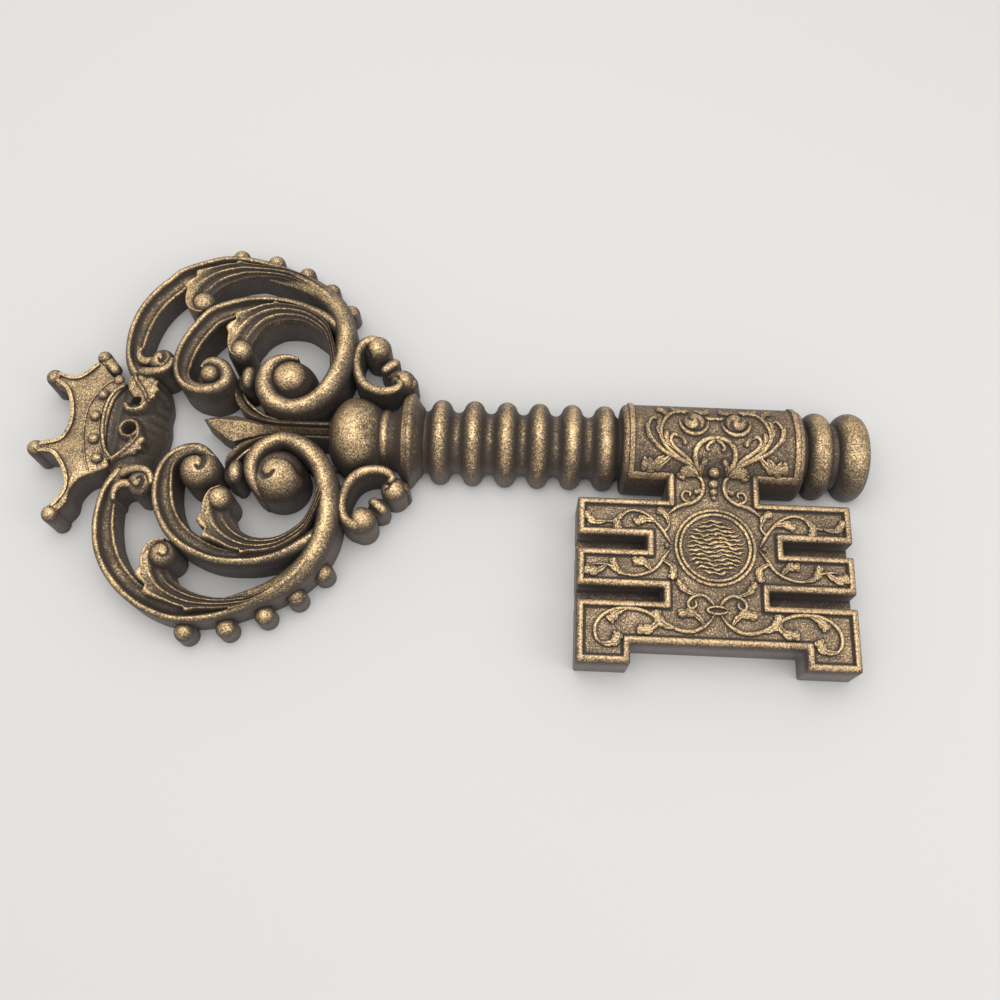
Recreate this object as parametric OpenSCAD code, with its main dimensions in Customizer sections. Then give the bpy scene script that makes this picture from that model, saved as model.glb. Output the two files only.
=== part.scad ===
// Decorative wall key: a flat-backed cast key with a crowned scroll bow, a ringed shank and a slotted bit.
// X runs along the shank to the bit's end, Y runs across it away from the bit, and Z comes out of the front.
// The drawing's datum is on the shank's centre line at the back, and placed() moves it to the box's middle.

/* [Shank] */
// Height of the shank's centre line above the flat back
axis_z = 7.2; // [6:0.1:9]
// Radius of the rings on the shank
ring_r = 21.1; // [19:0.1:23]
// Radius of the core between the rings
groove_r = 16; // [14:0.1:17.5]
// Radius of a ring's rounded edge
ring_bead_r = 5.7; // [4.5:0.1:6.5]
// Distance from one ring to the next
ring_pitch = 16; // [14:0.1:19]
// Number of rings
ring_count = 6; // [4:1:8]
// Length of the ball beside the bow
knob_len = 25; // [22:0.1:29]
// Largest radius of the ball beside the bow
knob_r = 20.5; // [18:0.1:22]
// Length of the flared collar
collar_len = 21.7; // [18:0.1:26]
// Largest radius of the flared collar
collar_r = 23.8; // [22:0.1:26]
// Radius of the neck that the collar flares from
collar_neck_r = 14.5; // [13:0.1:17]

/* [Barrel and end] */
// Length of the plain barrel that carries the bit
barrel_len = 87; // [75:0.5:100]
// Radius of the barrel
barrel_r = 22.3; // [20.5:0.1:25]
// Radius of the rounding on the barrel's ends
barrel_round = 3; // [1:0.1:4]
// Length of the ring past the barrel
end_ring_len = 17; // [14:0.1:20]
// Length of the cap at the shank's end
end_cap_len = 15; // [13:0.1:18]
// Radius of the cap's rim
end_cap_r = 21.8; // [19:0.1:24]

/* [Bit] */
// Width of the bit along the shank
bit_w = 128.2; // [110:0.2:150]
// Height of the bit's raised border above the back
bit_h = 21.5; // [18:0.1:23]
// Depth of the field below the border
field_drop = 1.5; // [0.8:0.1:3]
// Width of the raised border
border_w = 3.6; // [2.5:0.1:4.5]
// Width of the neck between barrel and bit
neck_w = 43.7; // [36:0.1:52]
// Distance from the shank's centre line to the bit's shoulder
bit_top = 30.8; // [28:0.1:36]
// Distance from the shank's centre line to the bit's feet
bit_bottom = 110; // [104:0.2:125]
// Distance from the shank's centre line to the recess between the feet
recess_y = 100.6; // [97:0.1:103]
// Width of one foot
foot_w = 24.6; // [18:0.1:30]
// Distance from the shank's centre line to the middle of the upper slots
upper_slot_y = 52.7; // [50:0.1:55]
// Length of the upper slots
upper_slot_len = 32.3; // [24:0.1:35]
// Distance from the shank's centre line to the middle of the lower slots
lower_slot_y = 77.4; // [76:0.1:80]
// Length of the lower slots
lower_slot_len = 39.7; // [30:0.1:42]
// Width of a slot
slot_w = 6.4; // [5:0.1:8]
// Depth of a slot below the border
slot_depth = 11; // [8:0.1:14]
// Radius of the medallion on the bit
medallion_r = 19.3; // [17:0.1:20.5]
// Width of the medallion's ring
medallion_ring_w = 4.1; // [3:0.1:5]

/* [Bow] */
// Length of the bow from the ball to the crown's band
bow_len = 108.5; // [95:0.5:120]
// Half the width of the bow over the outer scrolls
bow_half_w = 98.2; // [88:0.5:108]
// Height of the scroll crests beside the ball
bow_h = 26; // [23:0.1:28]
// Height of the scroll crests on the far rim
rim_h = 17; // [15:0.1:20]
// Depth of the channel along the scrolls
channel_depth = 4.5; // [3:0.1:6]
// Radius of the beads on the rim
rim_bead_r = 5; // [4:0.1:5.5]
// Radius of the large bosses
large_boss_r = 13.5; // [12:0.1:14]
// Radius of the small bosses
small_boss_r = 10; // [9:0.1:10.5]
// Height of the bosses
boss_h = 27.5; // [25:0.1:30]

/* [Crown] */
// Height of the crown's plate above the back
crown_h = 18; // [15:0.1:20]
// Height of the crown's raised rims above its plate
crown_rim_h = 1.8; // [1:0.1:2.5]
// Radius of the crown's ball posts
crown_post_r = 4.2; // [3.5:0.1:5]
// Radius of the beads on the crown's band
crown_bead_r = 2.7; // [2:0.1:3]

/* [Joints and hanging] */
// Radius of the dowels between the shank's pieces
dowel_r = 3; // [2.5:0.1:3.3]
// Length of the dowels between the shank's pieces
dowel_len = 12; // [9:0.5:14]
// Clearance round the dowels and between fitted faces
fit_gap = 0.1; // [0.05:0.01:0.2]
// Thickness of the keyhole hanger plates
hanger_t = 1.5; // [1:0.1:2]
// Radius of the keyhole's round entry
keyhole_r = 4.5; // [4:0.1:5]
// Half the width of the keyhole's slot
keyhole_slot_r = 2.2; // [1.8:0.1:2.4]
// Length of the keyhole's slot from the entry's centre
keyhole_slot_len = 8; // [6:0.1:9]
// Width of the hanger plates along the shank
hanger_w = 17; // [14:0.1:18]
// Length of the hanger plates across the shank
hanger_len = 27; // [25:0.1:28]

/* [Hidden] */
$fn = 48;
slack = 0.01;
metal = [0.42, 0.32, 0.19];
dark_metal = [0.25, 0.19, 0.12];
bright_metal = [0.62, 0.5, 0.3];
steel = [0.6, 0.6, 0.62];

// Stations along the shank
knob_x = -59.5;
collar_x = knob_x + knob_len;
shank_x = collar_x + collar_len;
barrel_x = shank_x + ring_count * ring_pitch;
end_ring_x = barrel_x + barrel_len;
end_cap_x = end_ring_x + end_ring_len;
tip_x = end_cap_x + end_cap_len;
bit_x = barrel_x + barrel_len / 2;
field_z = bit_h - field_drop;

// The bow is drawn in millimetres at this length and half width, and stretched to the driving sizes
drawn_len = 108.5;
drawn_half_w = 98.2;
kx = bow_len / drawn_len;
ky = bow_half_w / drawn_half_w;
function bow_x(x) = knob_x + (x - knob_x) * kx;
function bow_point(p) = [bow_x(p[0]), p[1] * ky];
// Widths inside the bow grow with the larger stretch, so that pieces still reach each other
bow_grow = max(1, kx, ky);

// Crest of an outer scroll from its volute to the crown: x, distance from the centre line, width outside the
// crest and width inside it
outer_crest = [
  [-90, 34, 4.5, 2.5], [-92.5, 24, 4.5, 2.5], [-91, 15.5, 4.5, 2.5], [-86, 10.5, 4, 2.5],
  [-79, 8.5, 4, 3], [-70.5, 11.5, 5, 3], [-63, 19, 6, 3.5], [-57.5, 30, 6, 4.5], [-55.5, 41, 5.5, 5],
  [-55.5, 51, 5.5, 5], [-58, 60, 5.5, 5], [-63, 69, 5.5, 5], [-70.5, 77, 5, 5.5],
  [-79.5, 83.5, 4, 6], [-90, 89, 3, 7], [-100, 93.5, 2.3, 8], [-111, 96, 2, 8.7],
  [-121, 96.5, 1.9, 8.7], [-130, 94.5, 1.9, 8.7], [-140, 90, 1.9, 8.7], [-149.5, 83, 1.9, 8.7],
  [-157, 74.5, 1.9, 8.7], [-162, 65.5, 1.9, 8.7], [-164.5, 57, 1.9, 8.5], [-165, 49.5, 2, 8],
  [-164.5, 41, 2, 7], [-162, 33.5, 2, 5.5], [-158.5, 28, 2, 3.5]
];
// Crest of an inner scroll from the outer scroll to the small boss, in the same four values
inner_crest = [
  [-61, 56, 3, 3], [-67.5, 61, 3, 3], [-76.5, 65.5, 2.8, 3.5], [-86, 68.5, 2.6, 4.5],
  [-96, 69.5, 2.5, 5.5], [-105.5, 69, 2.5, 6.5], [-114, 66.5, 2.5, 7.5], [-122, 62.5, 2.3, 8],
  [-129, 56, 2.2, 8], [-134.5, 47.5, 2, 8], [-137.5, 38.5, 2, 8], [-137.5, 29.5, 2, 7],
  [-134.5, 22, 2, 5], [-129, 17, 2, 4], [-122, 14.8, 2, 3], [-116, 15.5, 2, 2.5]
];
// Crest of an ear, from the collar round to its first ball. The ears stand on the collar and aren't stretched
ear_crest = [
  [-24.8, 20.4, 2.5, 2.5], [-31, 21.3, 2.5, 2.5], [-38, 22.3, 2.5, 2.5], [-44, 26, 2.5, 2.5],
  [-48, 32, 2.5, 2.5], [-49, 39, 2.5, 2.5], [-47.5, 45, 2.5, 2.5]
];
// Leaf blades as stations: a point on the outer edge and one on the inner edge
outer_blade = [
  [[-78, 84.5], [-77.5, 78.5]], [[-86, 88.5], [-84, 82.5]], [[-95, 91.5], [-94, 85.5]],
  [[-104, 93], [-104, 87]], [[-112, 93.5], [-112, 86.5]], [[-119, 92.5], [-119, 83.5]],
  [[-126, 90.5], [-125, 79.5]], [[-133, 87], [-130, 75]], [[-138.5, 82], [-133.5, 71]],
  [[-140.5, 77], [-136, 68]]
];
inner_blade = [
  [[-60, 47], [-62.5, 42]], [[-64, 53.5], [-66, 49]], [[-70.5, 60], [-71.5, 54]],
  [[-77, 63.5], [-77.5, 57.3]], [[-84, 65.5], [-84, 58.5]], [[-91, 66], [-90.5, 58.3]],
  [[-98, 65], [-96.5, 56.5]], [[-105, 62], [-101.5, 53]], [[-111, 58], [-105, 49]],
  [[-114.5, 51.5], [-108, 44.5]]
];
// Pointed lobes along the leaves: root centre and tip
outer_lobes = [[[-95, 89], [-94.5, 92.5]], [[-115, 91], [-115, 96]], [[-133, 85], [-136.5, 88.5]],
  [[-137, 78], [-141.5, 77]]];
inner_lobes = [[[-91, 64], [-91.5, 68]], [[-108, 57.5], [-112.5, 60.5]], [[-112, 52], [-116.5, 50.5]]];
// Buds at the leaves' ends: bud centre and the foot of its stem
outer_bud = [-129.5, 66.5];
outer_bud_foot = [-118.5, 76.5];
inner_bud = [-107, 39];
inner_bud_foot = [-99, 44];
bud_r = 6 * bow_grow;
large_boss = [-81, 25.5];
small_boss = [-118.5, 24.5];
end_curl = [-146.2, 32.5];
end_curl_r = 5.8;
link_bead = [-102.9, 25];
rim_bead_places = [[-117.3, 101.4], [-98.4, 98.8], [-81.2, 92.1], [-67.5, 82.8], [-56.2, 70.3]];
// Balls and reel that close each ear: place, radius and height
ear_turnings = [[[-39.5, 46], 6.6, 21.5], [[-31.4, 37.6], 4.8, 16], [[-25.4, 28.6], 5.6, 19.5]];

// Crown, in drawn millimetres. It leans a little, so its two halves differ
crown_left = [[-178, 32.5], [-182.5, 27.5], [-186, 24.5], [-190.5, 24], [-197, 25.5], [-198, 20.5],
  [-192, 16], [-188.5, 9], [-187, 1.5], [-187.6, -4.5], [-190.5, -10], [-199.5, -13], [-200, -18],
  [-193, -18.5],
  [-189, -22], [-185.7, -27], [-183.6, -32.5], [-184, -38.5], [-189, -46.5]];
crown_right = [[-184.5, -49], [-180.5, -43], [-180, -36.5], [-176, -30.5], [-171, -28], [-163.5, -25.5],
  [-165.5, -18], [-167.3, -10], [-168, 1.5], [-166.8, 11], [-164, 17.5], [-162, 20.5], [-167, 23],
  [-171.5, 26], [-174.5, 30]];
crown_post_places = [[-177, 36.5], [-199, 23], [-201, -15.5], [-187.5, -49]];
crown_bead_places = [[-169.5, 20.8], [-172.5, 12.2], [-174, 1.8], [-173.3, -10], [-169.8, -20.5]];
// Bracket behind the crown: its outline and its two loops
bracket_outline = [[-168, 1.5], [-166.8, 11], [-164, 17.5], [-162, 20.5], [-160, 24.5], [-155, 26.5],
  [-150, 26.5], [-145.5, 24.5], [-143.5, 20], [-141.5, 14], [-142, 7], [-141, 0], [-141.5, -7], [-143.5, -14],
  [-146, -21], [-150, -26.5], [-155, -27.5], [-160, -27], [-163.5, -25.5], [-165.5, -18], [-167.3, -10]];
bracket_h = 15;
bracket_loops = [[-156, 8.8], [-155.8, -5]];
bracket_leaves = [[[-156, 22], [-147, 19]], [[-152, 14], [-146, 12]], [[-152, -9], [-146, -11.5]],
  [[-156, -16], [-149, -19.5]]];

// Fleur-de-lis in the middle of the bow
fleur_h = 17;
fleur_petal = [[-122, 3.6], [-114, 5.4], [-106.5, 6.3], [-100, 4.8], [-92, 2.6], [-80, 1.9], [-57, 1.9],
  [-57, -1.9], [-80, -1.9], [-92, -2.6], [-100, -4.8], [-106, -6.9], [-113, -3.2], [-118, 0.2]];
fleur_side = [[-88, 2.6, 1.6, 1], [-95, 4.4, 2, 1.4], [-101, 8.6, 2.4, 1.6], [-104.8, 14, 2, 1.5],
  [-106.6, 19, 1, 1]];

// The drawing's extreme edges, which place the origin under the middle of the box
left_x = bow_x(crown_post_places[2][0]) - crown_post_r;
top_y = rim_bead_places[0][1] * ky + rim_bead_r;
mid_x = (left_x + tip_x) / 2;
mid_y = (top_y - bit_bottom) / 2;

module placed() {
  translate([-mid_x, -mid_y, 0]) children();
}

// A smooth curve through rows of numbers, n steps to each gap
function row(P, i) = P[max(0, min(len(P) - 1, i))];
function curve_at(P, i, t) = 0.5 * (2 * row(P, i) + (row(P, i + 1) - row(P, i - 1)) * t
  + (2 * row(P, i - 1) - 5 * row(P, i) + 4 * row(P, i + 1) - row(P, i + 2)) * t * t
  + (3 * row(P, i) - row(P, i - 1) - 3 * row(P, i + 1) + row(P, i + 2)) * t * t * t);
function smooth(P, n) = concat([for (i = [0 : len(P) - 2]) for (k = [0 : n - 1]) curve_at(P, i, k / n)],
  [P[len(P) - 1]]);
function left_of(P, i) = let (a = row(P, i - 1), b = row(P, i + 1), d = [b[0] - a[0], b[1] - a[1]])
  [-d[1], d[0]] / norm(d);

// A closed slab between two sections
module loft(a, b) {
  n = len(a);
  ends = [[for (k = [0 : n - 1]) k], [for (k = [0 : n - 1]) 2 * n - 1 - k]];
  hull() polyhedron(points = concat(a, b), faces = ends);
}

// A band beside a crest, between two distances inwards from it: a share of the station's width plus a length
function in_bow(P) = [for (p = P) concat(bow_point(p), [p[2], p[3]] * bow_grow)];
function side_line(S, k, share, more) = [for (i = [0 : len(S) - 1]) let (n = left_of(S, i))
  [S[i][0] + n[0] * (S[i][k] * share + more), S[i][1] + n[1] * (S[i][k] * share + more)]];
function reversed(P) = [for (i = [len(P) - 1 : -1 : 0]) P[i]];
module band(P, n, from, to) {
  S = smooth(P, n);
  polygon(concat(side_line(S, from[0], from[1], from[2]), reversed(side_line(S, to[0], to[1], to[2]))));
}

// The bow's front falls from bow_h to rim_h towards its outer edge and towards the crown
slope_y = [54, 93];
slope_x = [-120, -150];
module above_front(drop) {
  high = bow_h - drop;
  low = rim_h - drop;
  y = slope_y * ky;
  x = [bow_x(slope_x[0]), bow_x(slope_x[1])];
  rise = 20;
  far = 400;
  run_y = (y[1] - y[0]) / (bow_h - rim_h) * rise;
  run_x = (x[1] - x[0]) / (bow_h - rim_h) * rise;
  translate([-far, 0, 0]) rotate([90, 0, 90]) linear_extrude(height = 2 * far) {
    polygon([[y[0] - run_y, high + rise], [y[1], low], [y[1] + far, low], [y[1] + far, high + rise]]);
  }
  translate([0, far, 0]) rotate([90, 0, 0]) linear_extrude(height = 2 * far) {
    polygon([[x[0] - run_x, high + rise], [x[1], low], [x[1] - far, low], [x[1] - far, high + rise]]);
  }
}

module under_front(drop) {
  difference() {
    linear_extrude(height = bow_h - drop) children();
    above_front(drop);
  }
}

// A channelled scroll: its body, the bead along its outer edge and the low rim along its inner edge
rim_drop = 2.4;
bead_w = 3.4;
inner_rim_w = 2.4;
module scroll(P) {
  S = in_bow(P);
  under_front(channel_depth) band(S, 2, [2, -1, 0], [3, 1, 0]);
  under_front(0) band(S, 2, [2, -1, 0], [2, -1, bead_w]);
  under_front(rim_drop) band(S, 2, [3, 1, -inner_rim_w], [3, 1, 0]);
}

module on_bow(p, z) {
  translate([bow_x(p[0]), p[1] * ky, z]) children();
}

module dome_post(p, r, h) {
  translate([p[0], p[1], 0]) cylinder(r = r, h = h - r);
  translate([p[0], p[1], h - r]) sphere(r = r);
}

module upper() {
  placed() children();
}

module lower() {
  placed() mirror([0, 1, 0]) children();
}

// The crown and its bracket, as a lower piece meets them while it is still drawn on the upper side
module crown_space(is_lower) {
  mirror([0, is_lower ? 1 : 0, 0]) {
    crown_solid();
    bracket_solid();
  }
}

// Shank pieces are turned about the centre line and cut off flat at the back
module turned(x) {
  difference() {
    translate([x, 0, axis_z]) rotate([0, 90, 0]) rotate_extrude() children();
    translate([x - 50, -60, -60]) cube([300, 120, 60]);
  }
}

module shank_dowel(x, grow) {
  translate([x - dowel_len / 2 - grow, 0, axis_z]) rotate([0, 90, 0])
    cylinder(r = dowel_r + grow, h = dowel_len + 2 * grow);
}

module shank_hole(x) {
  shank_dowel(x, fit_gap);
}

function arc(c, r, from, to, n) = [for (k = [0 : n]) let (a = from + (to - from) * k / n)
  [c[0] + r * cos(a), c[1] + r * sin(a)]];

module knob_profile(gap) {
  round_r = knob_len / 2;
  edge = arc([knob_r - round_r, round_r], round_r + gap, -90, 90, 16);
  polygon(concat([[0, -gap]], edge, [[0, knob_len + gap]]));
}

// Across the collar: a bead beside the ball, a flare from its neck, and a lip that falls to the shank's core
function grown(P, gap) = [for (q = P) [q[0] > 0 ? q[0] + gap : 0, q[1]]];
module collar_profile(gap) {
  flare_x = 6;
  lip_x = collar_len - 7.2;
  rise = collar_r - collar_neck_r;
  run = lip_x - flare_x - 1;
  neck_bead = [[0, 0], [collar_neck_r + 1.5, 0], [collar_neck_r + 2.6, 1], [collar_neck_r + 2.6, 3],
    [collar_neck_r + 1.2, 4.4], [collar_neck_r, 5.2]];
  flare = [for (a = [0 : 15 : 90]) [collar_neck_r + rise * (1 - cos(a)), flare_x + run * sin(a)]];
  lip = [[collar_r, lip_x + 1.4], [collar_r - 0.8, lip_x + 2.4], [collar_r - 3, lip_x + 3.8],
    [groove_r + 3, collar_len - 1.5], [groove_r + 1, collar_len], [0, collar_len]];
  polygon(grown(concat(neck_bead, flare, lip), gap));
}

module bow_knob_solid() {
  difference() {
    turned(knob_x) knob_profile(0);
    shank_hole(collar_x);
    hanger_space(hanger_places[0]);
    bow_dowel(fit_gap);
    mirror([0, 1, 0]) bow_dowel(fit_gap);
  }
}

module bow_knob() {
  color(metal) placed() bow_knob_solid();
}

module neck_collar() {
  color(metal) placed() difference() {
    turned(collar_x) collar_profile(0);
    shank_hole(collar_x);
    shank_hole(shank_x);
  }
}

// A rounded ring on a core: the arc of its edge between the points where it leaves the core
function ring_edge(y, r, big_r, core_r) = let (c = big_r - r, a = acos((core_r - c) / r))
  arc([c, y], r, -a, a, 10);

module ringed_shank() {
  len = ring_count * ring_pitch;
  middles = [for (k = [0 : ring_count - 1]) (k + 0.5) * ring_pitch];
  edges = [for (y = middles) for (q = ring_edge(y, ring_bead_r, ring_r, groove_r)) q];
  color(metal) placed() difference() {
    turned(shank_x) polygon(concat([[0, 0], [groove_r, 0]], edges, [[groove_r, len], [0, len]]));
    shank_hole(shank_x);
    shank_hole(barrel_x);
  }
}

module barrel_solid() {
  turned(barrel_x) {
    square([barrel_r - barrel_round, barrel_len]);
    translate([0, barrel_round]) square([barrel_r, barrel_len - 2 * barrel_round]);
    for (y = [barrel_round, barrel_len - barrel_round]) {
      translate([barrel_r - barrel_round, y]) circle(r = barrel_round);
    }
  }
}

module barrel() {
  color(metal) placed() difference() {
    barrel_solid();
    shank_hole(barrel_x);
    shank_hole(end_ring_x);
    bit_dowel_pair(fit_gap);
    hanger_space(hanger_places[1]);
  }
}

end_ring_edge_r = 6;
end_ring_r = ring_r + 0.4;
module end_ring() {
  edge = ring_edge(end_ring_len * 0.48, end_ring_edge_r, end_ring_r, groove_r);
  end = [[groove_r, end_ring_len], [0, end_ring_len]];
  color(metal) placed() difference() {
    turned(end_ring_x) polygon(concat([[0, 0], [groove_r, 0]], edge, end));
    shank_hole(end_ring_x);
    shank_hole(end_cap_x);
  }
}

module end_cap() {
  rim_r = end_cap_len / 2;
  edge = arc([end_cap_r - rim_r, rim_r], rim_r, -90, 90, 16);
  color(metal) placed() difference() {
    turned(end_cap_x) polygon(concat([[0, 0]], edge, [[0, end_cap_len]]));
    shank_hole(end_cap_x);
  }
}

module shank_dowels() {
  color(steel) placed() for (x = [collar_x, shank_x, barrel_x, end_ring_x, end_cap_x]) shank_dowel(x, 0);
}

// Bit: an outline with blind slots, its border and the field inside the border
half_w = bit_w / 2;
half_neck = neck_w / 2;
slots = [[upper_slot_y, upper_slot_len], [lower_slot_y, lower_slot_len]];
neck_start = -12;
shoulder = [[half_neck, neck_start], [half_neck, -bit_top], [half_w, -bit_top]];
foot = [[half_w, -bit_bottom], [half_w - foot_w, -bit_bottom], [half_w - foot_w, -recess_y]];
function slot_corners(y, len) = [[half_w, slot_w / 2 - y], [half_w - len, slot_w / 2 - y],
  [half_w - len, -slot_w / 2 - y], [half_w, -slot_w / 2 - y]];
function both_halves(P) = concat(P, [for (i = [len(P) - 1 : -1 : 0]) [-P[i][0], P[i][1]]]);
outline = both_halves(concat(shoulder, [for (s = slots) for (q = slot_corners(s[0], s[1])) q], foot));
base_outline = both_halves(concat(shoulder, foot));
function step(a, b) = (b - a) / norm(b - a);
function inset(P, d) = [for (i = [0 : len(P) - 1])
  let (b = P[i], u = step(P[(i + len(P) - 1) % len(P)], b), v = step(b, P[(i + 1) % len(P)]))
  b + d * [u[1] + v[1], -u[0] - v[0]]];
function shifted(P, d) = [for (q = P) [q[0] + d[0], q[1] + d[1]]];

// Two dowels hold the bit to the barrel, and the medallion lies in a round seat in the field
bit_dowel_x = half_neck * 0.6;
bit_dowel_z = 9;
bit_dowel_r = 3.5;
bit_dowel_y = -barrel_r - 4.7;
bit_dowel_len = 15;
medallion_y = -53.7;
medallion_seat = 1.5;
medallion_bead_r = 1;

module bit_dowel_pair(grow) {
  for (s = [-1, 1]) translate([bit_x + s * bit_dowel_x, bit_dowel_y - grow, bit_dowel_z]) rotate([-90, 0, 0])
    cylinder(r = bit_dowel_r + grow, h = bit_dowel_len + 2 * grow);
}

module bit_slab(P, h) {
  linear_extrude(height = h) polygon(shifted(P, [bit_x, 0]));
}

// The barrel as a cutting shape, larger by a gap
module barrel_space(gap) {
  translate([barrel_x - 1, 0, axis_z]) rotate([0, 90, 0])
    cylinder(r = barrel_r + gap, h = barrel_len + 2, $fn = 120);
}

module bit_plate() {
  color(metal) placed() difference() {
    union() {
      bit_slab(base_outline, bit_h - slot_depth);
      bit_slab(outline, field_z);
      difference() {
        translate([0, 0, field_z - slack]) bit_slab(outline, field_drop + slack);
        translate([0, 0, field_z - 1]) bit_slab(inset(outline, border_w), field_drop + 2);
      }
    }
    barrel_space(fit_gap / 2);
    translate([bit_x, medallion_y, field_z - medallion_seat]) cylinder(r = medallion_r + fit_gap, h = 10);
    bit_dowel_pair(fit_gap);
  }
}

module bit_dowels() {
  color(steel) placed() bit_dowel_pair(0);
}

module medallion_ring() {
  ring_h = medallion_seat + 0.7;
  color(bright_metal) placed() translate([bit_x, medallion_y, field_z - medallion_seat]) difference() {
    union() {
      cylinder(r = medallion_r, h = ring_h);
      translate([0, 0, ring_h]) rotate_extrude() {
        translate([medallion_r - medallion_bead_r, 0]) circle(r = medallion_bead_r);
        translate([medallion_r - medallion_ring_w + medallion_bead_r, 0]) circle(r = medallion_bead_r);
      }
    }
    translate([0, 0, -1]) cylinder(r = medallion_r - medallion_ring_w, h = 6);
  }
}

module medallion_disc() {
  disc_r = medallion_r - medallion_ring_w - fit_gap;
  disc_h = medallion_seat + 0.1;
  rib_w = 1.4;
  rib_len = disc_r * 1.24;
  rib_pitch = disc_r / 4.2;
  color(metal) placed() translate([bit_x, medallion_y, field_z - medallion_seat]) {
    cylinder(r = disc_r, h = disc_h);
    for (k = [-3 : 3]) translate([-rib_len / 2, k * rib_pitch - rib_w / 2, disc_h - 0.6]) {
      cube([rib_len, rib_w, 1.4]);
    }
  }
}

// Relief stems lie on the bit's field or wrap the barrel. A stem's points are measured from the bit's middle
relief_h = 1.5;
vine_w = 1.8;
barrel_gap = 0.05;
function on_field(p) = [bit_x + p[0], p[1], field_z];
function on_barrel(p) = [bit_x + p[0], p[1], axis_z + sqrt(barrel_r * barrel_r - p[1] * p[1])];
function stem_section(S, i, w, round_barrel) = let (n = left_of(S, i), p = S[i],
  up = round_barrel ? [0, p[1], sqrt(barrel_r * barrel_r - p[1] * p[1])] / barrel_r : [0, 0, 1],
  base = round_barrel ? on_barrel(p) : on_field(p),
  side = round_barrel ? [n[0], n[1] * up[2], -n[1] * up[1]] : [n[0], n[1], 0],
  sink = round_barrel ? -0.4 : 0,
  shoulder_h = relief_h * 0.7)
  [for (q = [[-0.5, sink], [-0.36, shoulder_h], [0, relief_h], [0.36, shoulder_h], [0.5, sink]])
    base + side * q[0] * w + up * q[1]];

module stem(P, w, round_barrel) {
  S = smooth(P, 2);
  sections = [for (i = [0 : len(S) - 1]) stem_section(S, i, w, round_barrel)];
  for (i = [0 : len(S) - 2]) loft(sections[i], sections[i + 1]);
}

// A relief leaf is a short fat stem that narrows to a point
module relief_leaf(P, w, round_barrel) {
  S = [P[0], (P[0] + P[1]) / 2, P[1]];
  loft(stem_section(S, 0, w * 0.4, round_barrel), stem_section(S, 1, w, round_barrel));
  loft(stem_section(S, 1, w, round_barrel), stem_section(S, 2, w * 0.3, round_barrel));
}

module both_sides() {
  children();
  translate([2 * bit_x, 0, 0]) mirror([1, 0, 0]) children();
}

// Each vine is drawn on the bit in its first sizes, and follows the bit's width and its own zone
drawn_half_bit = 64.1;
function in_zone(P, drawn_y, y) = [for (p = P) [p[0] * half_w / drawn_half_bit, p[1] - drawn_y + y]];
upper_zone = -(bit_top + upper_slot_y) / 2;
lower_zone = -(upper_slot_y + lower_slot_y) / 2;
foot_zone = -(lower_slot_y + recess_y) / 2;
drawn_upper_zone = -41.75;
drawn_lower_zone = -65.05;
drawn_foot_zone = -89;
upper_vine = [[-22.5, -48], [-26, -44.5], [-29.5, -40.5], [-35, -37.3], [-40, -37.3], [-44, -39.8],
  [-48, -42.3], [-54, -42]];
upper_vine_leaves = [[[-31, -41], [-36, -42.2]], [[-43, -40], [-46, -45]], [[-53, -42], [-58.5, -40.5]]];
lower_vine = [[-22.5, -60], [-26, -63.5], [-31, -67], [-37, -68.8], [-43, -68.3], [-48, -65.5], [-53, -65]];
lower_vine_leaves = [[[-31, -66], [-35, -63]], [[-44, -67.5], [-46.5, -62.5]], [[-53, -65], [-58.5, -66]]];

// The part of a relief that lies inside the bit's border
module in_border() {
  intersection() {
    children();
    translate([0, 0, field_z - 1]) bit_slab(inset(outline, border_w), 10);
  }
}

module arm_scrollwork() {
  color(bright_metal) placed() in_border() both_sides() {
    stem(in_zone(upper_vine, drawn_upper_zone, upper_zone), vine_w, false);
    for (f = upper_vine_leaves) relief_leaf(in_zone(f, drawn_upper_zone, upper_zone), 3.2, false);
    stem(in_zone(lower_vine, drawn_lower_zone, lower_zone), vine_w, false);
    for (f = lower_vine_leaves) relief_leaf(in_zone(f, drawn_lower_zone, lower_zone), 3.2, false);
  }
}

foot_vine = [[0.5, -84.5], [-4.5, -89.5], [-11, -93], [-18, -93.3], [-25, -90.5], [-32, -87.8], [-39, -86],
  [-46, -86.2], [-52, -88.8], [-55, -93.5], [-54.5, -99], [-50, -102]];
foot_curl = [[0.5, -83], [-3, -79.5], [-7, -77], [-11, -77.5], [-14, -80], [-13.5, -82.8]];
foot_leaves = [[[-9, -91.5], [-15, -88.5]], [[-23, -91], [-26, -86]], [[-31, -89], [-34, -93]],
  [[-44, -87], [-46, -91]], [[-51, -101], [-46.5, -98]]];
foot_clasp = [[-4, -83.2], [0, -83.2], [4, -83.2]];

module foot_scrollwork() {
  color(bright_metal) placed() in_border() {
    both_sides() {
      stem(in_zone(foot_vine, drawn_foot_zone, foot_zone), vine_w, false);
      stem(in_zone(foot_curl, drawn_foot_zone, foot_zone), vine_w, false);
      for (f = foot_leaves) relief_leaf(in_zone(f, drawn_foot_zone, foot_zone), 3, false);
    }
    stem(in_zone(foot_clasp, drawn_foot_zone, foot_zone), 2.6, false);
  }
}

neck_vine = [[-14.5, -34.3], [-10, -33], [-6.5, -30], [-5.2, -26], [-6.5, -22.3], [-9.5, -20]];
neck_curl = [[-12.5, -33.6], [-15.5, -31], [-15.5, -27.6], [-13, -26.5]];
neck_leaf = [[-9, -20.5], [-14.5, -20.8]];

module neck_scrollwork() {
  color(bright_metal) placed() difference() {
    both_sides() {
      stem(neck_vine, vine_w, false);
      stem(neck_curl, vine_w * 0.8, false);
      relief_leaf(neck_leaf, 3, false);
    }
    barrel_space(barrel_gap);
  }
}

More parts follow.
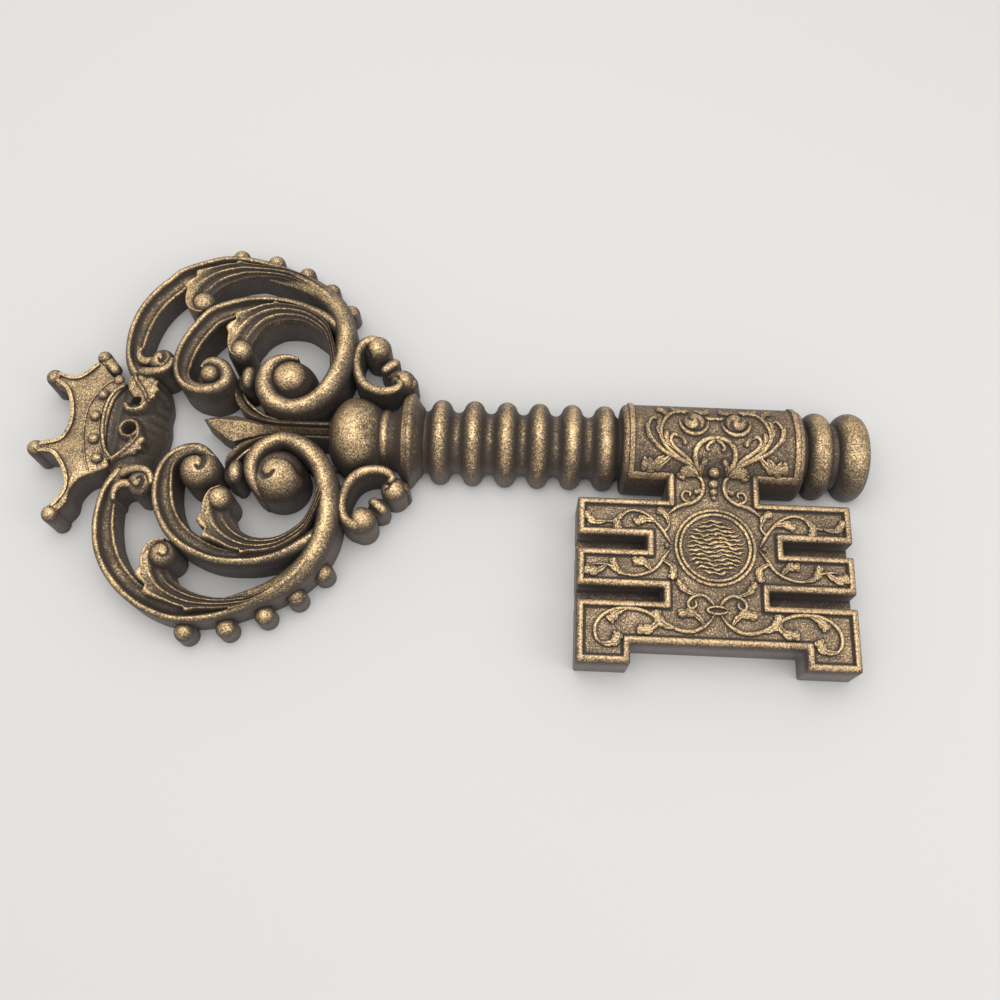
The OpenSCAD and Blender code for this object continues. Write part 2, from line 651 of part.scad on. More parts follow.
// Each bead of the drop: place across the shank and radius. The first lies on the barrel
neck_drop = [[-16.3, 2.1], [-21.2, 1.9], [-25.6, 1.7], [-29.3, 1.4]];
module neck_beads() {
  color(bright_metal) placed() for (b = neck_drop) {
    y = min(abs(b[0]), barrel_r);
    z = max(field_z, axis_z + sqrt(barrel_r * barrel_r - y * y));
    difference() {
      translate([bit_x, b[0], z]) sphere(r = b[1]);
      translate([bit_x - 5, b[0] - 5, field_z - 10]) cube(10);
      barrel_space(barrel_gap);
    }
  }
}

spray_long = [[-5, -14], [-10, -9.5], [-16, -5], [-22, -2], [-27, 3], [-29.5, 9]];
spray_short = [[-7, -12.5], [-14, -9], [-21, -8], [-27, -9.5]];
arch = [[-4.5, -15], [-6.5, -9.5], [-6, -4], [-2.5, -0.8], [0.3, -0.4]];
barrel_leaves = [[[-26, 1], [-31, 3.5]], [[-26, -9.3], [-32, -12.5]], [[-18, -4], [-15.5, 1]],
  [[-29.3, 8], [-26, 12]]];

module barrel_scrollwork() {
  color(bright_metal) placed() difference() {
    both_sides() {
      stem(spray_long, 2, true);
      stem(spray_short, 2, true);
      stem(arch, 2, true);
      for (f = barrel_leaves) relief_leaf(f, 3.4, true);
    }
    barrel_space(barrel_gap);
  }
}

cabochon_r = 6.4;
cabochon_x = 9.6;
cabochon_y = 7.5;
cabochon_sink = 3.6;
module barrel_cabochons() {
  up = [0, cabochon_y, sqrt(barrel_r * barrel_r - cabochon_y * cabochon_y)] / barrel_r;
  color(bright_metal) placed() for (s = [-1, 1]) difference() {
    translate([bit_x + s * cabochon_x, 0, axis_z] + up * (barrel_r - cabochon_sink)) sphere(r = cabochon_r);
    barrel_space(barrel_gap);
  }
}

// Spaces that the ball, the collar and the bosses keep clear of the scrolls beside them
module ball_space() {
  translate([knob_x, 0, axis_z]) rotate([0, 90, 0]) rotate_extrude() knob_profile(fit_gap * 2);
  translate([collar_x - slack, 0, axis_z]) rotate([0, 90, 0]) rotate_extrude() collar_profile(fit_gap * 2);
}

module post_space(p, r) {
  translate([p[0], p[1], -1]) cylinder(r = r + 2 * fit_gap, h = 60);
}

module boss_space(p, r) {
  post_space(bow_point(p), r);
}

module large_boss_solid() {
  dome_post(bow_point(large_boss), large_boss_r, boss_h);
}

module small_boss_solid() {
  dome_post(bow_point(small_boss), small_boss_r, boss_h);
}

// A dowel joins each outer scroll to the ball, from a point inside the ball to one inside the scroll
bow_dowel_r = 2.2;
bow_dowel_start = [knob_x + knob_len * 0.3, knob_r * 0.6];
bow_dowel_end = bow_point([-61, 21.8]);
module bow_dowel(grow) {
  run = bow_dowel_end - bow_dowel_start;
  translate([bow_dowel_start[0], bow_dowel_start[1], axis_z]) rotate([0, 90, atan2(run[1], run[0])])
    translate([0, 0, -grow]) cylinder(r = bow_dowel_r + grow, h = norm(run) + 2 * grow);
}

module bow_dowels() {
  color(steel) placed() {
    bow_dowel(0);
    mirror([0, 1, 0]) bow_dowel(0);
  }
}

module outer_scroll(is_lower) {
  difference() {
    scroll(outer_crest);
    ball_space();
    boss_space(large_boss, large_boss_r);
    bow_dowel(fit_gap);
    crown_space(is_lower);
  }
}

module inner_scroll(is_lower) {
  difference() {
    scroll(inner_crest);
    scroll(outer_crest);
    boss_space(small_boss, small_boss_r);
    crown_space(is_lower);
  }
}

module outer_scroll_upper() {
  color(metal) upper() outer_scroll(false);
}

module outer_scroll_lower() {
  color(metal) lower() outer_scroll(true);
}

module inner_scroll_upper() {
  color(metal) upper() inner_scroll(false);
}

module inner_scroll_lower() {
  color(metal) lower() inner_scroll(true);
}

module large_boss_upper() {
  color(bright_metal) upper() large_boss_solid();
}

module large_boss_lower() {
  color(bright_metal) lower() large_boss_solid();
}

module small_boss_upper() {
  color(bright_metal) upper() small_boss_solid();
}

module small_boss_lower() {
  color(bright_metal) lower() small_boss_solid();
}

// A leaf is a flat blade with pointed lobes on its outer edge and a bud on its end
leaf_rise = 3;
module blade(B) {
  polygon([for (q = concat([for (b = B) b[0]], [for (i = [len(B) - 1 : -1 : 0]) B[i][1]])) bow_point(q)]);
}

// A bar between two points, with its half width at each
module bar(a, b, wa, wb) {
  p = bow_point(a);
  q = bow_point(b);
  n = [p[1] - q[1], q[0] - p[0]] / norm(q - p) * bow_grow;
  polygon([p + wa * n, q + wb * n, q - wb * n, p - wa * n]);
}

bud_stem_drop = 6;
module bud(c, foot, h) {
  q = bow_point(foot);
  stem_h = h - bud_r - bud_stem_drop;
  dome_post(bow_point(c), bud_r, h);
  translate([q[0], q[1], 0]) cylinder(r = bud_r - 0.5, h = stem_h);
  linear_extrude(height = stem_h) bar(c, foot, 5, 5);
}

module leaf(B, lobes, c, foot, h) {
  under_front(-leaf_rise) {
    blade(B);
    for (f = lobes) bar(f[0], f[1], 2.6, 0.6);
  }
  bud(c, foot, h);
}

outer_bud_h = 23.5;
inner_bud_h = 25.5;
module outer_leaf() {
  difference() {
    leaf(outer_blade, outer_lobes, outer_bud, outer_bud_foot, outer_bud_h);
    scroll(outer_crest);
    scroll(inner_crest);
  }
}

module inner_leaf() {
  difference() {
    leaf(inner_blade, inner_lobes, inner_bud, inner_bud_foot, inner_bud_h);
    scroll(outer_crest);
    scroll(inner_crest);
    boss_space(large_boss, large_boss_r);
    boss_space(small_boss, small_boss_r);
    boss_space(link_bead, link_r);
  }
}

module outer_leaf_upper() {
  color(bright_metal) upper() outer_leaf();
}

module outer_leaf_lower() {
  color(bright_metal) lower() outer_leaf();
}

module inner_leaf_upper() {
  color(bright_metal) upper() inner_leaf();
}

module inner_leaf_lower() {
  color(bright_metal) lower() inner_leaf();
}

link_r = 5.2;
link_h = 23;
module link_bead() {
  difference() {
    dome_post(bow_point(link_bead), link_r, link_h);
    scroll(outer_crest);
  }
}

module link_bead_upper() {
  color(bright_metal) upper() link_bead();
}

module link_bead_lower() {
  color(bright_metal) lower() link_bead();
}

rim_bead_h = 13.5;
module rim_beads() {
  difference() {
    for (p = rim_bead_places) dome_post(bow_point(p), rim_bead_r, rim_bead_h);
    scroll(outer_crest);
  }
}

module rim_beads_upper() {
  color(bright_metal) upper() rim_beads();
}

module rim_beads_lower() {
  color(bright_metal) lower() rim_beads();
}

// A small curl closes the end of each outer scroll against the inner scroll
end_curl_h = 25;
end_curl_stem_h = 14;
end_curl_foot = [-156, 28];
module end_curl_solid(is_lower) {
  difference() {
    union() {
      dome_post(bow_point(end_curl), end_curl_r, end_curl_h);
      linear_extrude(height = end_curl_stem_h) bar(end_curl, end_curl_foot, 5, 3);
    }
    scroll(outer_crest);
    scroll(inner_crest);
    crown_space(is_lower);
  }
}

module end_curl_upper() {
  color(metal) upper() end_curl_solid(false);
}

module end_curl_lower() {
  color(metal) lower() end_curl_solid(true);
}

ear_h = 21.5;
ear_bead_drop = 2.5;
module ear_scroll() {
  difference() {
    union() {
      linear_extrude(height = ear_h - ear_bead_drop) band(ear_crest, 3, [2, -1, 0], [3, 1, 0]);
      linear_extrude(height = ear_h) band(ear_crest, 3, [2, -0.4, 0], [3, 0.4, 0]);
    }
    scroll(outer_crest);
    ball_space();
    for (t = ear_turnings) post_space(t[0], t[1]);
  }
}

module ear_baluster() {
  difference() {
    for (t = ear_turnings) dome_post(t[0], t[1], t[2]);
    scroll(outer_crest);
    ball_space();
  }
}

module ear_scroll_upper() {
  color(metal) upper() ear_scroll();
}

module ear_scroll_lower() {
  color(metal) lower() ear_scroll();
}

module ear_baluster_upper() {
  color(bright_metal) upper() ear_baluster();
}

module ear_baluster_lower() {
  color(bright_metal) lower() ear_baluster();
}

module fleur_petals() {
  linear_extrude(height = fleur_h) band(in_bow(fleur_side), 2, [2, -1, 0], [3, 1, 0]);
}

module fleur_de_lis() {
  color(bright_metal) placed() difference() {
    union() {
      linear_extrude(height = fleur_h) polygon([for (q = fleur_petal) bow_point(q)]);
      fleur_petals();
      mirror([0, 1, 0]) fleur_petals();
    }
    scroll(outer_crest);
    mirror([0, 1, 0]) scroll(outer_crest);
    ball_space();
  }
}

// Crown: a plate with a rim along its points, and a bracket between it and the scrolls
// A point beside a post keeps its place from the post, and the others follow the bow
near_post = 6;
function crown_point(q) = let (beside = [for (p = crown_post_places) if (norm(q - p) < near_post) p])
  len(beside) > 0 ? bow_point(beside[0]) + q - beside[0] : bow_point(q);
crown_outline = concat(crown_left, crown_right);

module crown_solid() {
  linear_extrude(height = crown_h) polygon([for (q = crown_outline) crown_point(q)]);
}

crown_dowel_r = 2;
crown_dowel_len = 10;
crown_dowel_z = 8;
module crown_dowel_pair(grow) {
  for (y = [-10, 10]) translate([bow_x(-167.5) - crown_dowel_len / 2 - grow, y, crown_dowel_z])
    rotate([0, 90, 0]) cylinder(r = crown_dowel_r + grow, h = crown_dowel_len + 2 * grow);
}

crown_rim_w = 2.2;
module crown_plate() {
  rim = [for (q = crown_left) crown_point(q)];
  inner = [for (i = [len(rim) - 1 : -1 : 0]) rim[i] + crown_rim_w * left_of(rim, i)];
  color(metal) placed() difference() {
    union() {
      crown_solid();
      translate([0, 0, crown_h]) linear_extrude(height = crown_rim_h) polygon(concat(rim, inner));
    }
    for (p = crown_post_places) boss_space(p, crown_post_r);
    crown_dowel_pair(fit_gap);
  }
}

module crown_band_beads() {
  color(bright_metal) placed() for (p = crown_bead_places) intersection() {
    on_bow(p, crown_h) sphere(r = crown_bead_r);
    on_bow(p, crown_h) translate([-5, -5, 0]) cube(10);
  }
}

crown_post_rise = 2;
module crown_posts() {
  color(bright_metal) placed() for (p = crown_post_places) {
    dome_post(bow_point(p), crown_post_r, crown_h + crown_post_rise);
  }
}

module bracket_solid() {
  linear_extrude(height = bracket_h) polygon([for (q = bracket_outline) bow_point(q)]);
}

bracket_loop_r = 5;
bracket_loop_eye_r = 2.8;
bracket_loop_h = 6;
bracket_leaf_h = 4;
module crown_bracket() {
  color(dark_metal) placed() difference() {
    union() {
      bracket_solid();
      for (p = bracket_loops) on_bow(p, bracket_h - slack) cylinder(r = bracket_loop_r, h = bracket_loop_h);
      for (f = bracket_leaves) {
        translate([0, 0, bracket_h - slack]) linear_extrude(height = bracket_leaf_h) bar(f[0], f[1], 2, 3.2);
        on_bow(f[1], bracket_h - slack) cylinder(r = 3.2, h = bracket_leaf_h);
      }
    }
    for (p = bracket_loops) on_bow(p, bracket_h + 1) cylinder(r = bracket_loop_eye_r, h = bracket_loop_h);
    crown_dowel_pair(fit_gap);
  }
}

module crown_dowels() {
  color(steel) placed() crown_dowel_pair(0);
}

// Keyhole hangers lie in pockets in the back, with room behind the slot for a screw's head
hanger_places = [knob_x + knob_len / 2, bit_x];
keyhole_y = -3;
keyhole_end_y = keyhole_y + keyhole_slot_len;
hanger_screw_y = hanger_len / 2 - 2.9;
screw_r = 1.2;
screw_len = 6.8;
screw_head_r = 2.3;
screw_head_h = 1.1;
head_room = 3;
module slab(w, y_from, y_to, h) {
  translate([-w / 2, y_from, 0]) cube([w, y_to - y_from, h]);
}

module hanger_space(x) {
  half_len = hanger_len / 2 + fit_gap;
  translate([x, 0, -1]) {
    slab(hanger_w + 2 * fit_gap, -half_len, half_len, hanger_t + 1);
    slab(2 * keyhole_r + 1, keyhole_y - keyhole_r, keyhole_end_y + keyhole_r - 1, hanger_t + head_room + 1);
    for (s = [-1, 1]) translate([0, s * hanger_screw_y, 0]) {
      cylinder(r = screw_r + fit_gap, h = screw_len + 1.2);
    }
  }
}

module hanger_plates() {
  color(steel) placed() for (x = hanger_places) translate([x, 0, 0]) difference() {
    slab(hanger_w, -hanger_len / 2, hanger_len / 2, hanger_t);
    translate([0, keyhole_y, -1]) cylinder(r = keyhole_r, h = hanger_t + 2);
    translate([0, 0, -1]) slab(2 * keyhole_slot_r, keyhole_y, keyhole_end_y, hanger_t + 2);
    translate([0, keyhole_end_y, -1]) cylinder(r = keyhole_slot_r, h = hanger_t + 2);
    for (s = [-1, 1]) translate([0, s * hanger_screw_y, -1]) {
      cylinder(r = screw_r + fit_gap, h = hanger_t + 2);
      cylinder(r1 = screw_head_r + fit_gap + 1, r2 = screw_r + fit_gap, h = screw_head_h + 1);
    }
  }
}

module hanger_screws() {
  color(steel) placed() for (x = hanger_places) for (s = [-1, 1]) translate([x, s * hanger_screw_y, 0]) {
    cylinder(r1 = screw_head_r, r2 = screw_r, h = screw_head_h);
    cylinder(r = screw_r, h = screw_len);
  }
}

bow_knob();
neck_collar();
ringed_shank();
barrel();
end_ring();
end_cap();
shank_dowels();
bit_plate();
bit_dowels();
medallion_ring();
medallion_disc();
barrel_cabochons();
barrel_scrollwork();
neck_scrollwork();
neck_beads();
arm_scrollwork();
foot_scrollwork();
outer_scroll_upper();
outer_scroll_lower();
inner_scroll_upper();
inner_scroll_lower();
large_boss_upper();
large_boss_lower();
small_boss_upper();
small_boss_lower();
outer_leaf_upper();
outer_leaf_lower();
inner_leaf_upper();
inner_leaf_lower();
link_bead_upper();
link_bead_lower();
rim_beads_upper();
rim_beads_lower();
end_curl_upper();
end_curl_lower();
ear_scroll_upper();
ear_scroll_lower();
ear_baluster_upper();
ear_baluster_lower();
bow_dowels();
fleur_de_lis();
crown_bracket();
crown_plate();
crown_band_beads();
crown_posts();
crown_dowels();
hanger_plates();
hanger_screws();
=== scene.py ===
import bmesh
import bpy
import numpy as np
from mathutils import Matrix, Vector


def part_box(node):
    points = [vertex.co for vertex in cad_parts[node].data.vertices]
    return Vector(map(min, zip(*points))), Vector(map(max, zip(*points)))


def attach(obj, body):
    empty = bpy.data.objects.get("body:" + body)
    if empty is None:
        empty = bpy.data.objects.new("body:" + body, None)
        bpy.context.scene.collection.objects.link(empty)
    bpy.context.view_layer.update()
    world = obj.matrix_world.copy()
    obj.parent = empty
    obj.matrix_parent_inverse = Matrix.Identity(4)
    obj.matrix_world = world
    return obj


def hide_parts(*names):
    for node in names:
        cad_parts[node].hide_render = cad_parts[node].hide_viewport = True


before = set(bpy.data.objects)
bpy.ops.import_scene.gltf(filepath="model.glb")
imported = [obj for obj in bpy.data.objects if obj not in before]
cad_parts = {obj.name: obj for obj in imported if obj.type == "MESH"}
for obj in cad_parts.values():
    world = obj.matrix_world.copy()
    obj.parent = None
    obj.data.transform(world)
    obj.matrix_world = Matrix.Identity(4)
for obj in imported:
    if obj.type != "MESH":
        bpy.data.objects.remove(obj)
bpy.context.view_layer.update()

# Looks of the decorative wall key. Shapes are drawn in millimetres on the key's own axes, as in the CAD
# source: x along the shank, y across it, z out of the flat back, with the centre line at y = 0.
MM = 0.001
SHANK_X = -12.8
shank_low, shank_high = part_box("ringed_shank")
SHIFT = np.array([shank_low.x / MM - SHANK_X, (shank_low.y + shank_high.y) / 2 / MM, 0.0])

AXIS_Z = 7.2
KNOB_X, KNOB_LEN, KNOB_R = -59.5, 25.0, 20.5
COLLAR_X, COLLAR_LEN, COLLAR_R, COLLAR_NECK_R = -34.5, 21.7, 23.8, 14.5
RING_PITCH, RING_COUNT, RING_R, GROOVE_R = 16.0, 6, 21.1, 16.0
BARREL_X, BARREL_LEN, BARREL_R = 83.2, 87.0, 22.3
END_RING_X, END_RING_LEN, END_RING_R, END_RING_EDGE_R = 170.2, 17.0, 21.5, 6.0
END_CAP_X, END_CAP_LEN, END_CAP_R = 187.2, 15.0, 21.8
BIT_X, BIT_H, FIELD_Z = 126.7, 21.5, 20.0
HALF_W, HALF_NECK, BIT_TOP, BIT_BOTTOM, RECESS_Y, FOOT_W = 64.1, 21.85, 30.8, 110.0, 100.6, 24.6
SLOTS = [(52.7, 32.3), (77.4, 39.7)]
SLOT_W, SLOT_FLOOR = 6.4, 10.5
MEDALLION_Y, MEDALLION_R = -53.7, 19.3
CROWN_H = 18.0


# Materials. Scales are per metre, reaches are in metres.

GOLD, UMBER = (0.82, 0.58, 0.31), (0.054, 0.040, 0.031)
FIELD_GOLD, BARREL_GOLD = (0.76, 0.53, 0.30), (0.74, 0.50, 0.28)
LOW_WALL_GREY = (0.17, 0.15, 0.145, 1)
STEEL_DARK, STEEL_LIGHT = (0.36, 0.36, 0.37, 1), (0.6, 0.6, 0.61, 1)
SPECK_SCALE, GRIT_SCALE, BLOTCH_SCALE, BROAD_SCALE, DENT_SCALE = 900, 1500, 110, 28, 260
HOLLOW_REACH, CREASE_REACH, DENT_DEPTH = 0.007, 0.0016, 0.0004
GREY_BELOW, BRONZE_ABOVE = 0.012, 0.018
BRUSH_SCALE, BRUSH_DEPTH = (60, 900, 900), 0.0001


def new_material(name):
    """A material, a function that adds a node to it and one that fills its shader. Inputs that are sockets
    are linked, and the others are set."""
    material = bpy.data.materials.new(name)
    material.use_nodes = True
    tree = material.node_tree

    def fill(made, inputs):
        for key, value in inputs.items():
            if isinstance(value, bpy.types.NodeSocket):
                tree.links.new(value, made.inputs[key])
            else:
                made.inputs[key].default_value = value

    def node(kind, inputs, **settings):
        made = tree.nodes.new("ShaderNode" + kind)
        for key, value in settings.items():
            setattr(made, key, value)
        fill(made, inputs)
        return made

    def shade(inputs):
        fill(tree.nodes["Principled BSDF"], inputs)

    return material, node, shade


def bronze(name, gold, speckle, grey_share):
    """Old bronze: umber and painted shade in hollows, painted shade on walls, gold rubbed on crests and
    painted light on faces that look up, with specks and soft blotches.
    """
    material, node, shade = new_material(name)
    place = node("TexCoord", {}).outputs
    facing = node("SeparateXYZ", {0: place["Normal"]}).outputs["Z"]
    height = node("SeparateXYZ", {0: place["Object"]}).outputs["Z"]
    wear_and_shading = node("Attribute", {}, attribute_name="wear_and_shading").outputs["Fac"]

    def scaled(value, factor, plus, clamp=False):
        inputs = {0: value, 1: factor, 2: plus}
        return node("Math", inputs, operation="MULTIPLY_ADD", use_clamp=clamp).outputs[0]

    def both(operation, a, b, clamp=False):
        return node("Math", {0: a, 1: b}, operation=operation, use_clamp=clamp).outputs[0]

    def noise(scale, detail, rough=0.6):
        inputs = {"Scale": scale, "Detail": detail, "Roughness": rough, "Vector": place["Object"]}
        return node("TexNoise", inputs).outputs["Fac"]

    def openness(reach, samples):
        return node("AmbientOcclusion", {"Distance": reach}, samples=samples).outputs["AO"]

    def over_range(value, low, high):
        return node("MapRange", {"Value": value, "From Min": low, "From Max": high}).outputs["Result"]

    specks = noise(SPECK_SCALE, 4, 0.7)
    # Painted light: faces that look up are made lighter than walls and faces that look down
    up = scaled(facing, 1.15, -0.3, clamp=True)
    rubbed_and_shaded = scaled(wear_and_shading, 0.52, -0.4)
    # Specks, grit and blotches are the finish's own grain. The two ambient-occlusion terms darken hollows and
    # creases: partly the umber left there, partly painted shade.
    for value, share, shift in ((up, 0.5, 0.0), (specks, 1.6 * speckle, -0.8 * speckle),
                                (noise(GRIT_SCALE, 2), 2.3 * speckle, -1.15 * speckle),
                                (noise(BLOTCH_SCALE, 3), 0.8, -0.4), (noise(BROAD_SCALE, 2), 0.4, -0.2),
                                (openness(HOLLOW_REACH, 8), 0.6, -0.44),
                                (openness(CREASE_REACH, 6), 0.7, -0.66)):
        rubbed_and_shaded = both("ADD", rubbed_and_shaded, scaled(value, share, shift))
    ramp = node("ValToRGB", {"Fac": rubbed_and_shaded})
    stops = ramp.color_ramp.elements
    stops[0].color = (*UMBER, 1)
    stops[1].color = (*gold, 1)
    stops.new(0.5).color = (*[d * 0.6 + g * 0.26 for d, g in zip(UMBER, gold)], 1)

    # Steep walls near the back are mixed towards grey and lose their metal
    greyed = both("MULTIPLY", over_range(facing, 0.45, 0.15), over_range(height, BRONZE_ABOVE, GREY_BELOW))
    greyed = both("MULTIPLY", greyed, grey_share)
    coat = node("Mix", {0: greyed, 6: ramp.outputs["Color"], 7: LOW_WALL_GREY}, data_type="RGBA")
    metal = scaled(rubbed_and_shaded, 0.6, 0.3, clamp=True)
    dull = scaled(rubbed_and_shaded, -0.2, 0.54)
    dents = both("ADD", specks, both("MULTIPLY", noise(DENT_SCALE, 3), 1.5))
    bump = node("Bump", {"Strength": 0.5, "Distance": DENT_DEPTH, "Height": dents})
    shade({"Base Color": coat.outputs[2], "Normal": bump.outputs["Normal"],
           "Metallic": both("MULTIPLY", metal, both("SUBTRACT", 1.0, greyed), clamp=True),
           "Roughness": both("ADD", dull, scaled(specks, 0.2, -0.1), clamp=True)})
    return material


def brushed_steel(name):
    material, node, shade = new_material(name)
    stretch = node("Mapping", {"Vector": node("TexCoord", {}).outputs["Object"], "Scale": BRUSH_SCALE})
    grain = node("TexNoise", {"Vector": stretch.outputs["Vector"], "Scale": 1.0, "Detail": 3}).outputs["Fac"]
    tint = node("ValToRGB", {"Fac": grain})
    tint.color_ramp.elements[0].color = STEEL_DARK
    tint.color_ramp.elements[1].color = STEEL_LIGHT
    rough = node("MapRange", {"Value": grain, "To Min": 0.28, "To Max": 0.5})
    bump = node("Bump", {"Strength": 0.3, "Distance": BRUSH_DEPTH, "Height": grain})
    shade({"Metallic": 1.0, "Base Color": tint.outputs["Color"], "Roughness": rough.outputs["Result"],
           "Normal": bump.outputs["Normal"]})
    return material


old_bronze = bronze("old_bronze", GOLD, speckle=1.0, grey_share=0.35)
field_bronze = bronze("field_bronze", FIELD_GOLD, speckle=1.1, grey_share=0.85)
barrel_bronze = bronze("barrel_bronze", BARREL_GOLD, speckle=1.1, grey_share=0.2)
steel = brushed_steel("hanger_steel")
for name in ("bow_dowels", "hanger_plates", "hanger_screws", "shank_dowels", "bit_dowels", "crown_dowels"):
    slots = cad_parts[name].data.materials
    slots.clear()
    slots.append(old_bronze if name == "bow_dowels" else steel)


# Curves and skins

TINY = 1e-9


def smooth(rows, steps):
    """A Catmull-Rom curve through rows of numbers, with that many steps to each gap."""
    rows = np.array(rows, float)
    padded = np.vstack([rows[0], rows, rows[-1]])
    out = []
    for i in range(len(rows) - 1):
        a, b, c, d = padded[i:i + 4]
        for t in np.arange(steps) / steps:
            out.append(0.5 * (2 * b + (c - a) * t + (2 * a - 5 * b + 4 * c - d) * t * t
                              + (3 * b - a - 3 * c + d) * t ** 3))
    out.append(rows[-1])
    return np.array(out)


def left_of(path):
    """Unit normals to the left of a path in the plane."""
    along = np.gradient(path[:, :2], axis=0)
    along /= np.linalg.norm(along, axis=1)[:, None] + TINY
    return np.column_stack([-along[:, 1], along[:, 0]])


def distance_to(points, line):
    """Distance in the plane from each point to a polyline, and how far along it the nearest place is."""
    line = np.array(line, float)[:, :2]
    best = np.full(len(points), np.inf)
    where = np.zeros(len(points))
    for i in range(len(line) - 1):
        a, d = line[i], line[i + 1] - line[i]
        t = np.clip(((points - a) @ d) / max(d @ d, TINY), 0, 1)
        gap = np.linalg.norm(points - (a + t[:, None] * d), axis=1)
        near = gap < best
        best[near] = gap[near]
        where[near] = (i + t[near]) / (len(line) - 1)
    return best, where


def skin(sections, wear_and_shading, loop=False):
    """A closed surface through sections with equally many points. One face closes each end, or in a loop the
    last section joins the first."""
    sections = np.array(sections, float)
    wear_and_shading = np.array(np.broadcast_to(np.array(wear_and_shading, float), sections.shape[:2]))
    n, k = sections.shape[:2]
    near = np.arange(k)
    far = (near + 1) % k
    faces = []
    for i in range(n if loop else n - 1):
        j = (i + 1) % n
        faces += np.column_stack([near + i * k, far + i * k, far + j * k, near + j * k]).tolist()
    if not loop:
        faces += [near.tolist(), (near + (n - 1) * k).tolist()]
    return sections.reshape(-1, 3), faces, wear_and_shading.reshape(-1)


def eased(path, first, last):
    """A path whose ends close in a round over those lengths, and the share of its width at each place."""
    length = np.concatenate([[0], np.cumsum(np.linalg.norm(np.diff(path[:, :2], axis=0), axis=1))])
    whole = length[-1]
    bend = 1 - np.cos(np.linspace(0.1, np.pi / 2, 6))
    places = [first * bend if first > 0 else [0.0], length[(length > first) & (length < whole - last)],
              whole - last * bend[::-1] if last > 0 else [whole]]
    places = np.concatenate(places)
    share = np.ones(len(places))
    for end, gap in ((first, places), (last, whole - places)):
        if end > 0:
            share *= np.sqrt(1 - (1 - np.clip(gap / end, 0, 1)) ** 2)
    return np.column_stack([np.interp(places, length, column) for column in path.T]), share


BOW_TOP, BOW_FALL = 26.0, 9.0
FALL_Y, FALL_WIDTH, FALL_X, FALL_LENGTH = 54.0, 39.0, -120.0, 30.0


def front(x, y):
    """Height of the bow's front: it falls towards the outer edge and towards the crown."""
    across = np.clip((np.abs(y) - FALL_Y) / FALL_WIDTH, 0, 1)
    along = np.clip((FALL_X - x) / FALL_LENGTH, 0, 1)
    return BOW_TOP - BOW_FALL * np.maximum(across, along)


def at_height(outline, z):
    """A plane outline as points at height z."""
    return np.column_stack([outline, np.full(len(outline), z)])


def mirrored(parts):
    """The same parts on the other side of the centre line."""
    return [(p * [1, -1, 1], f, w) for p, f, w in parts]


def flipped(parts):
    """The same parts on the other side of the bit's middle."""
    return [(p * [-1, 1, 1] + [2 * BIT_X, 0, 0], f, w) for p, f, w in parts]


SAME_PLACE, SHARP_ANGLE = 1e-6, 0.9


def make(name, parts, *nodes, material=old_bronze):
    """One piece from closed parts. It rides on the root body and stands for the CAD nodes named."""
    points, faces, shades, first = [], [], [], 0
    for p, f, w in parts:
        points.append(p)
        shades.append(w)
        faces += [[i + first for i in face] for face in f]
        first += len(p)
    points = (np.concatenate(points) + SHIFT) * MM
    mesh = bpy.data.meshes.new(name)
    mesh.from_pydata(points.tolist(), [], faces)
    # Per-point wear and painted light: gold rubbed on crests with painted highlights, painted shade in
    # hollows and on walls
    mesh.attributes.new("wear_and_shading", "FLOAT", "POINT").data.foreach_set("value", np.concatenate(shades))
    shape = bmesh.new()
    shape.from_mesh(mesh)
    bmesh.ops.remove_doubles(shape, verts=shape.verts, dist=SAME_PLACE)
    bmesh.ops.dissolve_degenerate(shape, edges=shape.edges, dist=SAME_PLACE)
    bmesh.ops.recalc_face_normals(shape, faces=shape.faces)
    shape.to_mesh(mesh)
    shape.free()
    mesh.polygons.foreach_set("use_smooth", [True] * len(mesh.polygons))
    mesh.set_sharp_from_angle(angle=SHARP_ANGLE)
    mesh.materials.append(material)
    piece = bpy.data.objects.new(name, mesh)
    bpy.context.scene.collection.objects.link(piece)
    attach(piece, "root")
    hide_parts(*nodes)


# Building blocks

CHANNEL = [
    (0, 0, 1), (0.05, 0.12, 0.95), (0.1, 0.5, 0.7), (0.145, 1.2, 0.2), (0.18, 2.3, -0.3), (0.22, 3.1, -0.4),
    (0.3, 3.8, -0.1), (0.4, 4.2, 0.2), (0.5, 4.3, 0.3), (0.6, 4.2, 0.3), (0.68, 3.9, 0.25),
    (0.74, 3.5, 0.4), (0.79, 3.2, 0.6), (0.85, 3.0, 0.8), (0.91, 3.2, 0.65), (0.96, 3.7, 0.35),
    (1.0, 4.7, 0.1)]
OUTSIDE = [-1, -0.95, -0.85, -0.7, -0.5, -0.25]


def round_fall(s):
    """How far a round band has fallen at that share of its width, as a share of its height."""
    return 1 - np.sqrt(1 - 0.97 * s * s)


